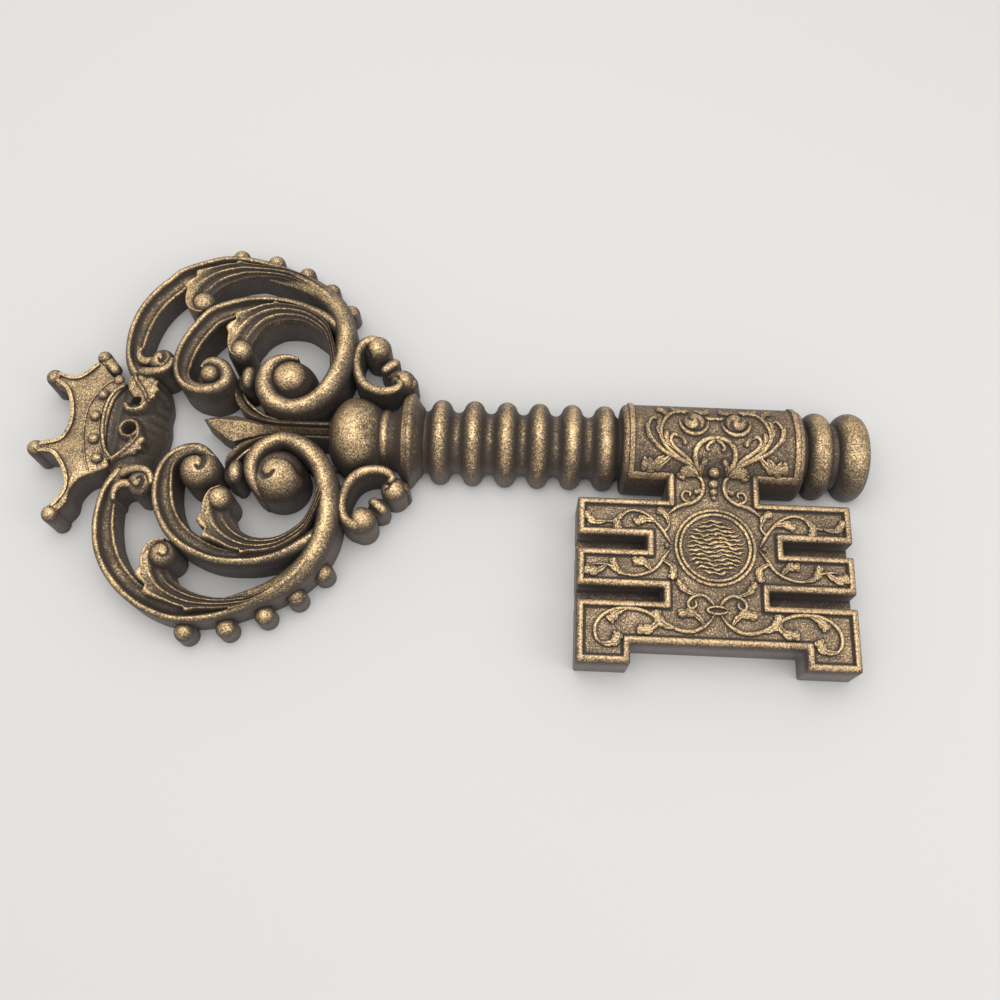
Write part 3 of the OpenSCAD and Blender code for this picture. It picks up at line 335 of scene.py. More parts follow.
def scroll(rows):
    """A moulding along a crest. Each row is x, y, width outside, width inside, lift over the bow's front and
    how round its inner side is: 0 is a channel with a low inner rim, 1 is a plain round band."""
    path = smooth(rows, 9)
    out_w, in_w, lift, round_share = path[:, 2], path[:, 3], path[:, 4], np.clip(path[:, 5], 0, 1)
    top = front(path[:, 0], path[:, 1]) + lift
    back = np.zeros(len(top))
    offsets, heights, wear_and_shading = [], [], []

    def add(offset, z, shade):
        offsets.append(offset)
        heights.append(z)
        wear_and_shading.append(np.broadcast_to(shade, offset.shape))

    # Painted shade down the walls and in the channel; gold rubbed on the crest under a painted highlight
    add(-out_w, back, 0.1)
    add(-out_w, np.maximum(top - out_w * 0.8 - 4, 0.5), 0.15)
    for s in OUTSIDE:
        add(s * out_w, top - out_w * round_fall(s), 1.1 - abs(s) * 1.15)
    for s, drop, shade in CHANNEL:
        channel_drop = drop * np.clip(in_w / 7.0, 0.35, 1)
        z = top - in_w * round_fall(s) * round_share - channel_drop * (1 - round_share)
        add(s * in_w, z, (1.1 - s * 1.1) * round_share + shade * (1 - round_share))
    add(in_w, np.maximum(heights[-1] - 3, 0.5), 0.05)
    add(in_w, back, 0.0)
    offsets, heights, wear_and_shading = np.array(offsets).T, np.array(heights).T, np.array(wear_and_shading).T
    xy = path[:, None, :2] + left_of(path)[:, None, :] * offsets[..., None]
    return skin(np.dstack([xy, heights]), wear_and_shading)


def ridge(rows, steps=6, bottom=0.0, sides=12, lean=1.0):
    """A half-round rib along a path, with round ends. Rows are x, y, height of the crest and half width."""
    path = smooth(rows, steps)
    path, share = eased(path, path[0, 3], path[-1, 3])
    angles = np.linspace(0, np.pi, sides)
    offset = np.cos(angles)[None] * path[:, 3:4] * share[:, None]
    full = np.minimum(path[:, 3:4] * lean, path[:, 2:3])
    z = path[:, 2:3] - full + np.sin(angles)[None] ** 0.8 * full * share[:, None]
    # Brightest along the crest: rubbed gold with a painted highlight; painted shade at the floor
    wear_and_shading = np.broadcast_to(0.2 + 0.8 * np.sin(angles), z.shape)
    floor, dark = np.full((len(path), 1), bottom), np.zeros((len(path), 1))
    offset = np.hstack([offset[:, :1], offset, offset[:, -1:]])
    xy = path[:, None, :2] + left_of(path)[:, None, :] * offset[..., None]
    return skin(np.dstack([xy, np.hstack([floor, z, floor])]), np.hstack([dark, wear_and_shading, dark]))


def around(x, y, r, z, sides, stretch=1.0):
    """A level ring of points."""
    turn = np.linspace(0, 2 * np.pi, sides, endpoint=False)
    return at_height(np.column_stack([x + r * np.cos(turn), y + r * stretch * np.sin(turn)]), z)


def lathe(x, y, rows, sides=96, loop=False):
    """A shape turned about an upright line. Rows are radius, z, and wear with painted light and shade."""
    return skin([around(x, y, r, z, sides) for r, z, _ in rows], [[w] * sides for _, _, w in rows], loop)


def bead(x, y, z, r, squash):
    """A round bead, half sunk in what carries it."""
    return lathe(x, y, [(r * np.cos(a), z + r * squash * np.sin(a), 0.2 + 0.8 * max(np.sin(a), 0))
                        for a in np.linspace(-0.6, np.pi / 2 * 0.98, 14)], 32)


def dome(x, y, r, h, grooves=(), stretch=1.0, bottom=0.0, sides=64, rings=22, flat=1.0):
    """A post with a round top. Each groove is a line, with its half width and its depth at both ends."""
    cap = r * flat
    # Painted shade down the post's wall, rubbed gold with a painted highlight on its top
    rows = [(r, bottom, 0.0), (r, max(h - cap - 2, bottom + 0.3), 0.1)]
    for a in np.linspace(0, np.pi / 2 * 0.985, rings):
        rows.append((r * np.cos(a), h - cap + cap * np.sin(a), 1.1 * np.sin(a) ** 2))
    points, wear_and_shading = [], []
    for radius, z, shade in rows:
        ring = around(x, y, radius, z, sides, stretch)
        shades = np.full(sides, shade)
        if z > h - cap - 0.01:
            for line, half, depth in grooves:
                gap, where = distance_to(ring[:, :2], line)
                share = np.exp(-(gap / (half[0] + (half[1] - half[0]) * where)) ** 2)
                out = (ring - [x, y, h - cap]) / max(r, cap)
                ring = ring - out * (share * (depth[0] + (depth[1] - depth[0]) * where))[:, None]
                # Umber and painted shade in each groove
                shades = shades - 1.1 * share
        points.append(ring)
        wear_and_shading.append(np.clip(shades, 0, 1))
    return skin(points, wear_and_shading)


TURNED_SIDES = 96
PLATE_HALF_W, PLATE_HALF_LEN, PLATE_DEPTH = 8.65, 13.65, 1.5
ROOM_HALF_W, ROOM_LOW, ROOM_HIGH, ROOM_DEPTH = 5.0, -7.5, 8.5, 4.5


def with_pocket(rows, hanger_x):
    """Rows of a turned shape with two more columns: how deep a hanger's plate and the room behind it are sunk
    in the back there."""
    edges = [hanger_x - PLATE_HALF_W, hanger_x - ROOM_HALF_W, hanger_x + ROOM_HALF_W, hanger_x + PLATE_HALF_W]
    plate = (PLATE_DEPTH, PLATE_DEPTH)
    depths = [(0, 0), plate, (PLATE_DEPTH, ROOM_DEPTH), plate, (0, 0)]
    found = [(*rows[0], 0, 0)]
    for before, row in zip(rows, rows[1:]):
        for j, e in enumerate(edges):
            if before[0] < e <= row[0]:
                t = (e - before[0]) / (row[0] - before[0])
                at = before + (row - before) * t
                found += [(*at, *depths[j]), (at[0] + 0.05, at[1], at[2], *depths[j + 1])]
        found.append((*row, *depths[sum(row[0] > e for e in edges)]))
    return np.array(found)


def turned(rows, hanger_x=None):
    """A shape turned about the shank's centre line and cut off flat at the back. Rows are x, radius, and wear
    with painted light and shade. A hanger's pocket is sunk in the back at hanger_x."""
    rows = np.array(rows, float)
    if hanger_x is None:
        rows = np.column_stack([rows, np.zeros((len(rows), 2))])
    else:
        rows = with_pocket(rows, hanger_x)
    points, wear_and_shading = [], []
    for x, r, shade, plate, room in rows:
        low = -np.arcsin(min(AXIS_Z / r, 1.0))
        a = np.linspace(low, np.pi - low, TURNED_SIDES)
        ring = np.column_stack([np.full(len(a), x), r * np.cos(a), AXIS_Z + r * np.sin(a)])
        # Painted shade: each turned shape is lighter along its top and darker down its sides
        shades = shade * np.clip(0.35 + 0.65 * np.sin(a), 0.1, 1)
        if hanger_x is not None:
            corners = [(-PLATE_HALF_LEN, 0), (-PLATE_HALF_LEN, plate), (ROOM_LOW, plate), (ROOM_LOW, room),
                       (ROOM_HIGH, room), (ROOM_HIGH, plate), (PLATE_HALF_LEN, plate), (PLATE_HALF_LEN, 0)]
            wide = -ring[-1, 1] - 0.05
            ring = np.vstack([ring, [(x, np.clip(y, -wide, wide), z) for y, z in corners]])
            shades = np.append(shades, np.zeros(len(corners)))
        points.append(ring)
        wear_and_shading.append(shades)
    return skin(points, wear_and_shading)


def field(x, y, h):
    """A place at height h over the bit's field, from the bit's middle."""
    return np.array([BIT_X + x, y, FIELD_Z + h])


def on_barrel(x, y, h):
    """A place at height h over the barrel."""
    y = np.clip(y, -BARREL_R * 0.999, BARREL_R * 0.999)
    up = np.sqrt(BARREL_R ** 2 - y ** 2)
    grow = (BARREL_R + h) / BARREL_R
    return np.array([BIT_X + x, y * grow, AXIS_Z + up * grow])


def on_crown(x, y, h):
    """A place at height h over the crown's plate."""
    return np.array([x, y, CROWN_H + h])


def draped(x, y, h):
    """A place over the neck: the barrel's surface above the neck, and the bit's field below it."""
    low = field(x, y, h)
    high = on_barrel(x, y, h)
    if y > -BARREL_R and high[2] > low[2]:
        return high
    return low


# Raised lines: umber and painted shade at their foot, gold rubbed on their crest with a painted highlight
VINE = [(-0.5, -0.5, -0.9), (-0.48, 0.2, -0.5), (-0.38, 0.7, 0.9), (-0.15, 0.98, 1.1), (0.15, 0.98, 1.1),
        (0.38, 0.7, 0.9), (0.48, 0.2, -0.5), (0.5, -0.5, -0.9)]
RIB = [(-0.5, -0.5, -0.9), (-0.5, 0.5, 0), (-0.4, 0.92, 1.1), (-0.2, 1, 1), (0.2, 1, 1), (0.4, 0.92, 1.1),
       (0.5, 0.5, 0), (0.5, -0.5, -0.9)]


def relief(place, line, widths, heights, section=VINE):
    """A raised line on a surface. Rows of its section are across, up, and wear with painted light and shade.
    """
    line = np.array(line, float)
    points = []
    for p, n, w, h in zip(line, left_of(line), widths, heights):
        points.append([place(p[0] + n[0] * s * w, p[1] + n[1] * s * w, u * h if u > 0 else u)
                       for s, u, _ in section])
    return skin(points, [shade for _, _, shade in section])


def vine(place, points, width, height, taper):
    line = smooth(points, 5)
    t = np.linspace(0, 1, len(line))
    ends = np.clip(np.minimum(t * 8, (1 - t) * 8 + 0.3), 0.3, 1)
    share = (1 - (1 - taper) * t) * ends
    return relief(place, line, width * share, height * (0.6 + 0.4 * share))


LEAF_GROW = 1.07
LEAF_ACROSS = [-1, -0.97, -0.86, -0.7, -0.5, -0.3, -0.15, 0, 0.15, 0.3, 0.5, 0.7, 0.86, 0.97, 1]


def leaf(place, line, width, height, lobes, sides):
    """A plump leaf along a line, with round lobes swept forwards, grooves between them and a sunken midrib.
    Sides are the shares of the width to the left and to the right of the midrib."""
    path = smooth(line, 8)
    path = path[0] + (path - path[0]) * LEAF_GROW
    length = np.concatenate([[0], np.cumsum(np.linalg.norm(np.diff(path, axis=0), axis=1))])
    t = np.linspace(0, 1, 12 * lobes + 1)
    path = np.column_stack([np.interp(t * length[-1], length, c) for c in path.T])
    normal = left_of(path)
    along = np.column_stack([normal[:, 1], -normal[:, 0]])
    body = 0.3 + 0.7 * np.sin(np.pi / 2 * np.clip(t / 0.72, 0, 1)) ** 1.4
    body = body * np.sqrt(np.clip(1 - (np.clip(t - 0.74, 0, 1) / 0.265) ** 2, 0.03, 1))
    lobe = np.abs(np.sin(np.pi * (lobes * t - 0.1))) ** 0.6
    lobe = 1 - (1 - lobe) * np.clip(t / 0.3, 0, 1)
    half = 0.5 * LEAF_GROW * width * body * (0.74 + 0.34 * lobe)
    points, wear_and_shading = [], []
    for k, centre in enumerate(path):
        row, shades = [], []
        for s in LEAF_ACROSS:
            side = abs(s)
            reach = half[k] * (sides[0] if s > 0 else sides[1])
            spot = centre + normal[k] * s * reach + along[k] * side * reach * 0.45
            on_edge = side > 0.99
            notch = np.clip(1 - lobe[k] * 1.4, 0, 1) * np.clip((side - 0.55) / 0.3, 0, 1)
            vein = np.exp(-((side - 0.5) / 0.13) ** 2) * np.clip(t[k] * 1.6 - 0.2, 0, 1)
            rib = np.exp(-(s / 0.13) ** 2) * np.clip(1.3 - t[k], 0, 1)
            up = np.clip(1 - side ** 4, 0, 1) ** 0.5 - 0.45 * notch - 0.22 * rib - 0.22 * vein
            row.append(place(spot[0], spot[1], -0.5 if on_edge else height * max(up, 0.1)))
            # Painted shade on the leaf's edges and in its notches, midrib and veins; its swell is rubbed gold
            # with a painted highlight
            bright = 1.15 - 1.6 * side ** 8 - 0.9 * notch - 0.6 * rib - 0.7 * vein
            shades.append(-0.9 if on_edge else bright)
        points.append(row)
        wear_and_shading.append(shades)
    return skin(points, wear_and_shading)


def bent(base, tip, bend):
    """Five places from base to tip, bowed to the left by that share of the length."""
    base, tip = np.array(base, float), np.array(tip, float)
    along = tip - base
    side = np.array([-along[1], along[0]])
    return [tuple(base + along * t + side * bend * np.sin(np.pi * t)) for t in (0, 0.25, 0.5, 0.75, 1)]


def foliage(place, height, vines, leaves):
    """Vines and leaves on a surface. A vine is a line, a width and a taper. A leaf is its base, its tip, how
    far it bows to the left, its width, its number of lobes and the shares of its sides."""
    parts = [vine(place, line, width, height, taper) for line, width, taper in vines]
    for x0, y0, x1, y1, bend, width, lobes, left, right in leaves:
        parts.append(leaf(place, bent((x0, y0), (x1, y1), bend), width, height, lobes, (left, right)))
    return parts


# Shank

KNOB_MIDDLE, KNOB_BLUNT, KNOB_LONG = -0.05, 1.07, 1.48
BARREL_EDGE_R = 3
CREST_BEND, GROOVE_BEND, SWEEP, CREST_SHINE, GROOVE_SHINE = 5.1, 3.23, 1.287, 0.34, 0.16


def knob_rows():
    """An egg, blunt towards the neck."""
    out = []
    for u in np.linspace(-1, 1, 65):
        away = u - KNOB_MIDDLE
        long = KNOB_BLUNT if away < 0 else KNOB_LONG
        # Bright middle: rubbed gold under a painted highlight; the ends darker with painted shade
        shade = max(1.1 - 1.2 * abs(away) ** 2.2, -0.3)
        out.append((KNOB_X + KNOB_LEN / 2 * (1 + u), KNOB_R * np.sqrt(1 - (away / long) ** 2), shade))
    return out


def collar_rows():
    """A low bead with a painted highlight, and a neck in painted shade that flares into a wide flange with a
    painted highlight along its front edge.
    """
    bead_len, edge_x, lip_x = 4.8, 11.6, COLLAR_LEN - 6.6
    rows = [(bead_len * u, COLLAR_NECK_R - 0.1 + 0.8 * np.sin(np.pi * u), -0.2 + 1.4 * np.sin(np.pi * u))
            for u in np.linspace(0, 1, 11)]
    rise = COLLAR_R - 2.2 - COLLAR_NECK_R
    for u in np.linspace(0.06, 1, 18):
        rows.append((bead_len + (edge_x - bead_len) * u, COLLAR_NECK_R - 0.1 + (rise + 0.1) * u ** 2.3,
                     -0.25 + 1.1 * u ** 8))
    rows += [(edge_x + 0.4, COLLAR_R - 1.7, 1.2), (edge_x + 1.0, COLLAR_R - 1.4, 0.8),
             (lip_x - 1.0, COLLAR_R - 0.4, 0.6), (lip_x, COLLAR_R, 0.7), (lip_x + 0.8, COLLAR_R - 0.3, 0.6),
             (lip_x + 1.6, COLLAR_R - 1.2, 0.4), (lip_x + 2.6, COLLAR_R - 2.8, 0.2),
             (lip_x + 4.2, COLLAR_R - 5.2, 0.1), (COLLAR_LEN - 1.0, 17.0, 0), (COLLAR_LEN - 0.4, 15.9, -0.2),
             (COLLAR_LEN, 15.3, -0.3)]
    return [(COLLAR_X + x, r, shade) for x, r, shade in rows]


def shank_rows():
    """Rings with round crests and grooves that meet in tangents: gold rubbed on each crest under a painted
    highlight, painted shade beside it and a fainter painted highlight down each groove.
    """
    out = []
    half = RING_PITCH / 2
    turn = CREST_BEND * np.sin(SWEEP)
    groove_r = RING_R - (CREST_BEND + GROOVE_BEND) * (1 - np.cos(SWEEP))
    for k in range(RING_COUNT):
        for u in np.linspace(-1, 1, 33)[:(33 if k == RING_COUNT - 1 else 32)]:
            across = abs(u) * half
            if across < turn:
                radius = RING_R - CREST_BEND + np.sqrt(CREST_BEND ** 2 - across ** 2)
            else:
                away = (half - across) * GROOVE_BEND * np.sin(SWEEP) / (half - turn)
                radius = groove_r + GROOVE_BEND - np.sqrt(GROOVE_BEND ** 2 - away ** 2)
            # Painted highlights along the crest and down the groove
            crest = 1.4 * np.exp(-(u / CREST_SHINE) ** 2)
            groove = 0.8 * np.exp(-((abs(u) - 1) / GROOVE_SHINE) ** 2)
            out.append((SHANK_X + (k + 0.5 + 0.5 * u) * RING_PITCH, radius, crest + groove - 0.3))
    return out


def end_ring_rows():
    """One rounded ring from groove to groove."""
    x, r = END_RING_X + END_RING_LEN * 0.48, END_RING_EDGE_R
    angle = np.arccos(np.clip((GROOVE_R - (END_RING_R - r)) / r, -1, 1))
    out = [(END_RING_X, GROOVE_R, 0)]
    for a in np.linspace(-angle, angle, 17):
        shade = 0.2 + 0.8 * np.cos(a / angle * 1.4) ** 2
        out.append((x + r * np.sin(a), END_RING_R - r + r * np.cos(a), shade))
    return out + [(END_RING_X + END_RING_LEN, GROOVE_R, 0)]


def barrel_edge(x, side, turns):
    """The rounded edge of one end of the barrel."""
    return [(x - side * BARREL_EDGE_R * np.cos(a), BARREL_R - BARREL_EDGE_R + BARREL_EDGE_R * np.sin(a),
             0.3 + 0.5 * np.sin(a)) for a in turns]


make("ball_knob", [turned(knob_rows(), hanger_x=KNOB_X + KNOB_LEN / 2)], "bow_knob")
make("flared_collar", [turned(collar_rows())], "neck_collar")
make("ring_stack", [turned(shank_rows())], "ringed_shank")

BARREL_END = BARREL_X + BARREL_LEN
barrel_rows = barrel_edge(BARREL_X + BARREL_EDGE_R, 1, np.linspace(0, np.pi / 2, 8))
barrel_rows += [(x, BARREL_R, 0.3) for x in np.linspace(BARREL_X + 4, BARREL_END - 4, 30)]
barrel_rows += barrel_edge(BARREL_END - BARREL_EDGE_R, -1, np.linspace(np.pi / 2, 0, 8))
BORDER_X, BORDER_Y, BORDER_RIB_W, BORDER_RIB_H = BARREL_LEN / 2 - 4.4, -18.4, 2.6, 0.9
side_line = [(-BORDER_X, y) for y in BARREL_R * np.sin(np.radians(np.linspace(-57.5, 68, 40)))]
under_line = [(x, BORDER_Y) for x in np.linspace(-BORDER_X - 1.2, -HALF_NECK + 2.4, 12)]
down_line = [(-HALF_NECK + 1.7, y) for y in np.linspace(BORDER_Y + 1.2, -22.0, 6)]
barrel_parts = [turned(barrel_rows, hanger_x=BIT_X)]
for line in (side_line, under_line, down_line):
    rib = relief(on_barrel, line, [BORDER_RIB_W] * len(line), [BORDER_RIB_H] * len(line), RIB)
    barrel_parts += [rib] + flipped([rib])
make("plain_barrel", barrel_parts, "barrel", material=barrel_bronze)
make("round_end_ring", [turned(end_ring_rows())], "end_ring")
cap_r = END_CAP_LEN / 2
cap_rows = [(END_CAP_X + cap_r + cap_r * np.sin(a), END_CAP_R - cap_r + cap_r * np.cos(a),
             0.2 + 0.8 * np.cos(a)) for a in np.linspace(-np.pi / 2, np.pi / 2, 33)]
make("domed_end_cap", [turned(cap_rows)], "end_cap")


# Bit. Rows of its rings are inset, z, and wear with painted light and shade.

CORNER_R = 1.1
# Painted shade on the walls; umber and painted shade in the groove inside the border; gold rubbed on the
# border's crest with a painted highlight
BIT_RINGS = [
    (0.15, 0, 0), (0, 0.4, 0.05), (0, BIT_H - 5, 0.1), (0, BIT_H - 2.2, 0.2), (0.25, BIT_H - 1.3, 0.55),
    (0.8, BIT_H - 0.5, 0.9), (1.6, BIT_H - 0.1, 1.1), (2.2, BIT_H, 1.15), (2.8, BIT_H - 0.12, 1.1),
    (3.2, BIT_H - 0.5, 0.6), (3.45, BIT_H - 1.2, -0.5), (3.6, FIELD_Z - 0.3, -0.9),
    (3.95, FIELD_Z - 0.35, -0.9), (4.25, FIELD_Z - 0.1, 0), (4.7, FIELD_Z, 0.4)]


def bit_outline():
    half = [(HALF_NECK, -14.0), (HALF_NECK, -BIT_TOP), (HALF_W, -BIT_TOP)]
    for y, length in SLOTS:
        end = HALF_W - length
        half += [(HALF_W, SLOT_W / 2 - y), (end, SLOT_W / 2 - y), (end, -SLOT_W / 2 - y),
                 (HALF_W, -SLOT_W / 2 - y)]
    half += [(HALF_W, -BIT_BOTTOM), (HALF_W - FOOT_W, -BIT_BOTTOM), (HALF_W - FOOT_W, -RECESS_Y)]
    return np.array(half + [(-x, y) for x, y in reversed(half)])


def inset_ring(outline, d):
    """The outline moved inwards, with its corners rounded."""
    out = []
    n = len(outline)
    for i in range(n):
        p = outline[i]
        a = (p - outline[i - 1]) / np.linalg.norm(p - outline[i - 1])
        b = (outline[(i + 1) % n] - p) / np.linalg.norm(outline[(i + 1) % n] - p)
        n1, n2 = np.array([a[1], -a[0]]), np.array([b[1], -b[0]])
        convex = a[0] * b[1] - a[1] * b[0] < 0
        r = max(CORNER_R - d * 0.4, 0.2) if convex else 0.8
        bend = 1 if convex else -1
        centre = p + (d + bend * r) * (n1 + n2)
        for t in np.linspace(0, np.pi / 2, 5):
            out.append(centre - bend * r * (np.cos(t) * n1 + np.sin(t) * n2))
    return np.array(out)


def block(x0, x1, y0, y1, z0, z1, wear_and_shading):
    """A slab with softened upper edges."""
    e = 0.25
    return skin([[(x0 + d, y0 + d, z), (x1 - d, y0 + d, z), (x1 - d, y1 - d, z), (x0 + d, y1 - d, z)]
                 for d, z in [(0, z0), (0, z1 - e), (e, z1)]], wear_and_shading)


rings = [at_height(inset_ring(bit_outline(), d) + [BIT_X, 0], z) for d, z, _ in BIT_RINGS]
bit_parts = [skin(rings, [[shade] * len(rings[0]) for _, _, shade in BIT_RINGS])]
for y, length in SLOTS:
    floor = block(BIT_X + HALF_W - length - 0.8, BIT_X + HALF_W - 0.25, -y - SLOT_W / 2 - 0.8,
                  -y + SLOT_W / 2 + 0.8, 0.05, SLOT_FLOOR, 0.1)
    bit_parts += [floor] + flipped([floor])
make("slotted_bit", bit_parts, "bit_plate", material=field_bronze)


def medallion_rows():
    r = MEDALLION_R
    base = FIELD_Z - 1.0
    rows = [(r - 4.3, base, 0), (r, base, 0), (r, FIELD_Z + 0.1, 0)]
    for centre in (1.0, 3.1):
        for a in np.linspace(0.0, np.pi, 9):
            rows.append((r - centre + np.cos(a), FIELD_Z + 0.25 + 0.85 * np.sin(a), 0.15 + 0.85 * np.sin(a)))
    rows.append((r - 4.3, FIELD_Z - 0.1, 0))
    return rows


def on_disc(x, y, h):
    """A place at height h over the medallion's disc, from its middle."""
    return np.array([BIT_X + x, MEDALLION_Y + y, FIELD_Z + 0.2 + h])


make("medallion_frame", [lathe(BIT_X, MEDALLION_Y, medallion_rows(), loop=True)], "medallion_ring")
DISC_R, DISC_RIB_PITCH = MEDALLION_R - 4.2, 2.05
disc_parts = [dome(BIT_X, MEDALLION_Y, DISC_R, FIELD_Z + 0.2, bottom=FIELD_Z - 1.4, flat=0.02, rings=5)]
for k in range(-6, 7):
    y = k * DISC_RIB_PITCH
    half = np.sqrt(max((DISC_R - 1.2) ** 2 - y * y, 1))
    xs = np.linspace(-half, half, 40)
    ripple = 0.55 * np.sin(xs * 0.5 + k * 0.35) + 0.28 * np.sin(xs * 1.3 + k * 1.7)
    ends = np.clip((half - np.abs(xs)) / 2.5, 0.25, 1)
    wide = (1.5 + 0.5 * np.sin(xs * 0.9 + k * 2.3)) * ends
    disc_parts.append(relief(on_disc, np.column_stack([xs, y + ripple]), wide, 0.95 * ends))
make("medallion_face", disc_parts, "medallion_disc")

VINE_H, ROSETTE_H = 1.5, 1.3
UPPER_VINE = [
    (-20.5, -53), (-22.5, -49.5), (-25, -45.5), (-29.5, -40.5), (-35, -37.3), (-40, -37.3), (-44, -39.8),
    (-48, -42.8), (-54, -42.6)]
LOWER_VINE = [
    (-20.5, -55), (-24, -59.5), (-27, -64.2), (-32, -67.5), (-38.5, -69), (-44, -67.5), (-47.6, -65),
    (-52, -64), (-56, -64.2)]
ARM_LEAVES = [
    (-27.5, -42.5, -36.5, -43.4, -0.15, 5.6, 3, 0.7, 1), (-42, -38.4, -45.5, -46.2, -0.2, 5.4, 3, 1, 0.7),
    (-50.5, -43, -60, -38.8, 0.25, 4.6, 3, 0.8, 1), (-30, -66.5, -37.8, -62.6, -0.2, 5.4, 3, 0.8, 1),
    (-41, -68.8, -46.6, -61.4, 0.2, 5.2, 3, 1, 0.6), (-50.5, -64.2, -60, -66, 0.2, 5.2, 3, 1, 1),
    (-25.2, -60.8, -20.6, -69.6, 0.3, 5.0, 3, 0.7, 1), (-21.8, -43, -26.5, -36.6, -0.2, 4.0, 2, 1, 1),
    (-21.2, -54, -23.2, -53.8, 0, 2.6, 1, 1, 1)]
ARM_STEM = [(-24, -47.5), (-21.5, -44), (-21.8, -40.5)]
ARM_VINES = [(UPPER_VINE, 2.3, 0.6), (LOWER_VINE, 2.3, 0.6), (ARM_STEM, 2.0, 0.45)]
arms = foliage(field, VINE_H, ARM_VINES, ARM_LEAVES)
make("arm_vines", arms + flipped(arms), "arm_scrollwork")

FOOT_VINE = [
    (-0.8, -84.8), (-4.2, -90), (-10, -93.8), (-16, -94.2), (-22, -92), (-28, -88.2), (-34, -85.4),
    (-40.5, -84.6), (-47, -85.4), (-52.6, -88.6), (-55.6, -93.6), (-54.8, -99.2), (-51, -102.4)]
FOOT_CURL = [
    (-0.8, -82.9), (-3.1, -79.4), (-6.7, -77), (-11, -78), (-13.4, -81.2), (-12, -83.6), (-9.6, -82),
    (-10.2, -79.6)]
FOOT_LEAVES = [
    (-6.5, -91, -17, -87.2, -0.25, 5.6, 3, 0.7, 1), (-19, -93, -27.5, -85.6, 0.2, 5.8, 3, 1, 0.8),
    (-26.5, -89, -35.8, -93.4, 0.2, 5.8, 3, 1, 0.8), (-41.5, -84.8, -49, -90.4, -0.1, 5.8, 3, 1, 0.8),
    (-53, -101.4, -45.2, -96.4, -0.25, 6.0, 3, 1, 0.8), (-9.5, -77.2, -17.4, -70.6, 0.15, 4.2, 3, 0.8, 1)]
OVAL = [(4.6 * np.cos(a), -84 + 1.7 * np.sin(a)) for a in np.linspace(0.1, 2 * np.pi - 0.1, 9)]
foot = foliage(field, VINE_H, [(FOOT_VINE, 2.6, 0.8), (FOOT_CURL, 2.3, 0.7)], FOOT_LEAVES)
clasp = foliage(field, VINE_H, [(OVAL, 1.7, 1.0)], [])
make("foot_vines", foot + flipped(foot) + clasp, "foot_scrollwork")

NECK_VINE = [
    (-21.5, -38), (-17.5, -34.4), (-13.5, -32.8), (-10, -31.8), (-6.2, -28.4), (-4.8, -23.8), (-6, -19.4),
    (-9, -17.4)]
NECK_CURL = [(-10.6, -31.8), (-13.6, -31.2), (-15.2, -29), (-13.9, -26.4), (-11.2, -26.8), (-11.6, -29)]
NECK_LEAVES = [
    (-6.4, -19, -15, -20, -0.3, 6.0, 3, 0.6, 1), (-8.6, -18, -15.4, -16, 0.1, 3.6, 2, 1, 1),
    (-5, -24, -9, -26, 0.2, 3.0, 2, 1, 1)]
neck = foliage(draped, VINE_H, [(NECK_VINE, 2.5, 0.9), (NECK_CURL, 2.0, 0.8)], NECK_LEAVES)
make("neck_vines", neck + flipped(neck), "neck_scrollwork")
drop = [bead(BIT_X, y, draped(0, y, 0.2)[2], r, 0.85)
        for y, r in ((-16.6, 3.1), (-22.0, 2.7), (-26.2, 2.2), (-29.2, 1.3))]
make("drop_of_beads", drop, "neck_beads")

ARCH = [(-6.1, -17), (-9, -13), (-9.4, -8.4), (-6.8, -4.4), (-2.6, -2.4), (0.6, -2.2)]
ARCH_HOOK = [(-0.2, -3.2), (-2.7, -4.6), (-4.2, -6.8), (-3, -8)]
LONG_SPRAY = [
    (-7.8, -16.3), (-13.1, -13.2), (-18.7, -11.2), (-24.8, -8.5), (-28.7, -5.2), (-31.4, -0.6), (-31.6, 4),
    (-29.4, 7.6), (-27.6, 6.8)]
INNER_SPRAY = [
    (-14, -12.4), (-20, -9.6), (-24.4, -5.3), (-26, -0.3), (-24.6, 5.5), (-21.1, 10.4), (-16.4, 12.6),
    (-13.6, 10.8)]
SHORT_SPRAY = [(-9, -14.6), (-15, -10.4), (-19.6, -7), (-21.4, -3.4), (-19.6, -1), (-17.8, -2.2)]
SPRAY_LEAVES = [
    (-27, -7, -32.4, 3.4, 0.16, 3.8, 3, 0.5, 1), (-24, -6, -25.4, 6, 0.14, 3.6, 3, 1, 0.5),
    (-19, -8, -22.6, 0, 0.2, 3.6, 2, 1, 0.6), (-21, -10.6, -33.6, -13.8, 0.18, 6.4, 4, 0.8, 1),
    (-24, -11, -27, -15.6, -0.2, 4.0, 2, 1, 1), (-23, 8, -27, 13.4, -0.2, 3.4, 2, 1, 1),
    (-18, -2, -14.6, -5.6, 0.2, 2.6, 2, 1, 1), (-6, -18.4, -4, -12, 0.15, 3.2, 2, 1, 1)]
spray = foliage(on_barrel, VINE_H, [(ARCH, 3.0, 1.0), (ARCH_HOOK, 2.2, 0.9), (LONG_SPRAY, 3.0, 0.5),
                                    (INNER_SPRAY, 2.8, 0.6), (SHORT_SPRAY, 2.8, 0.7)], SPRAY_LEAVES)
make("barrel_sprays", spray + flipped(spray), "barrel_scrollwork")


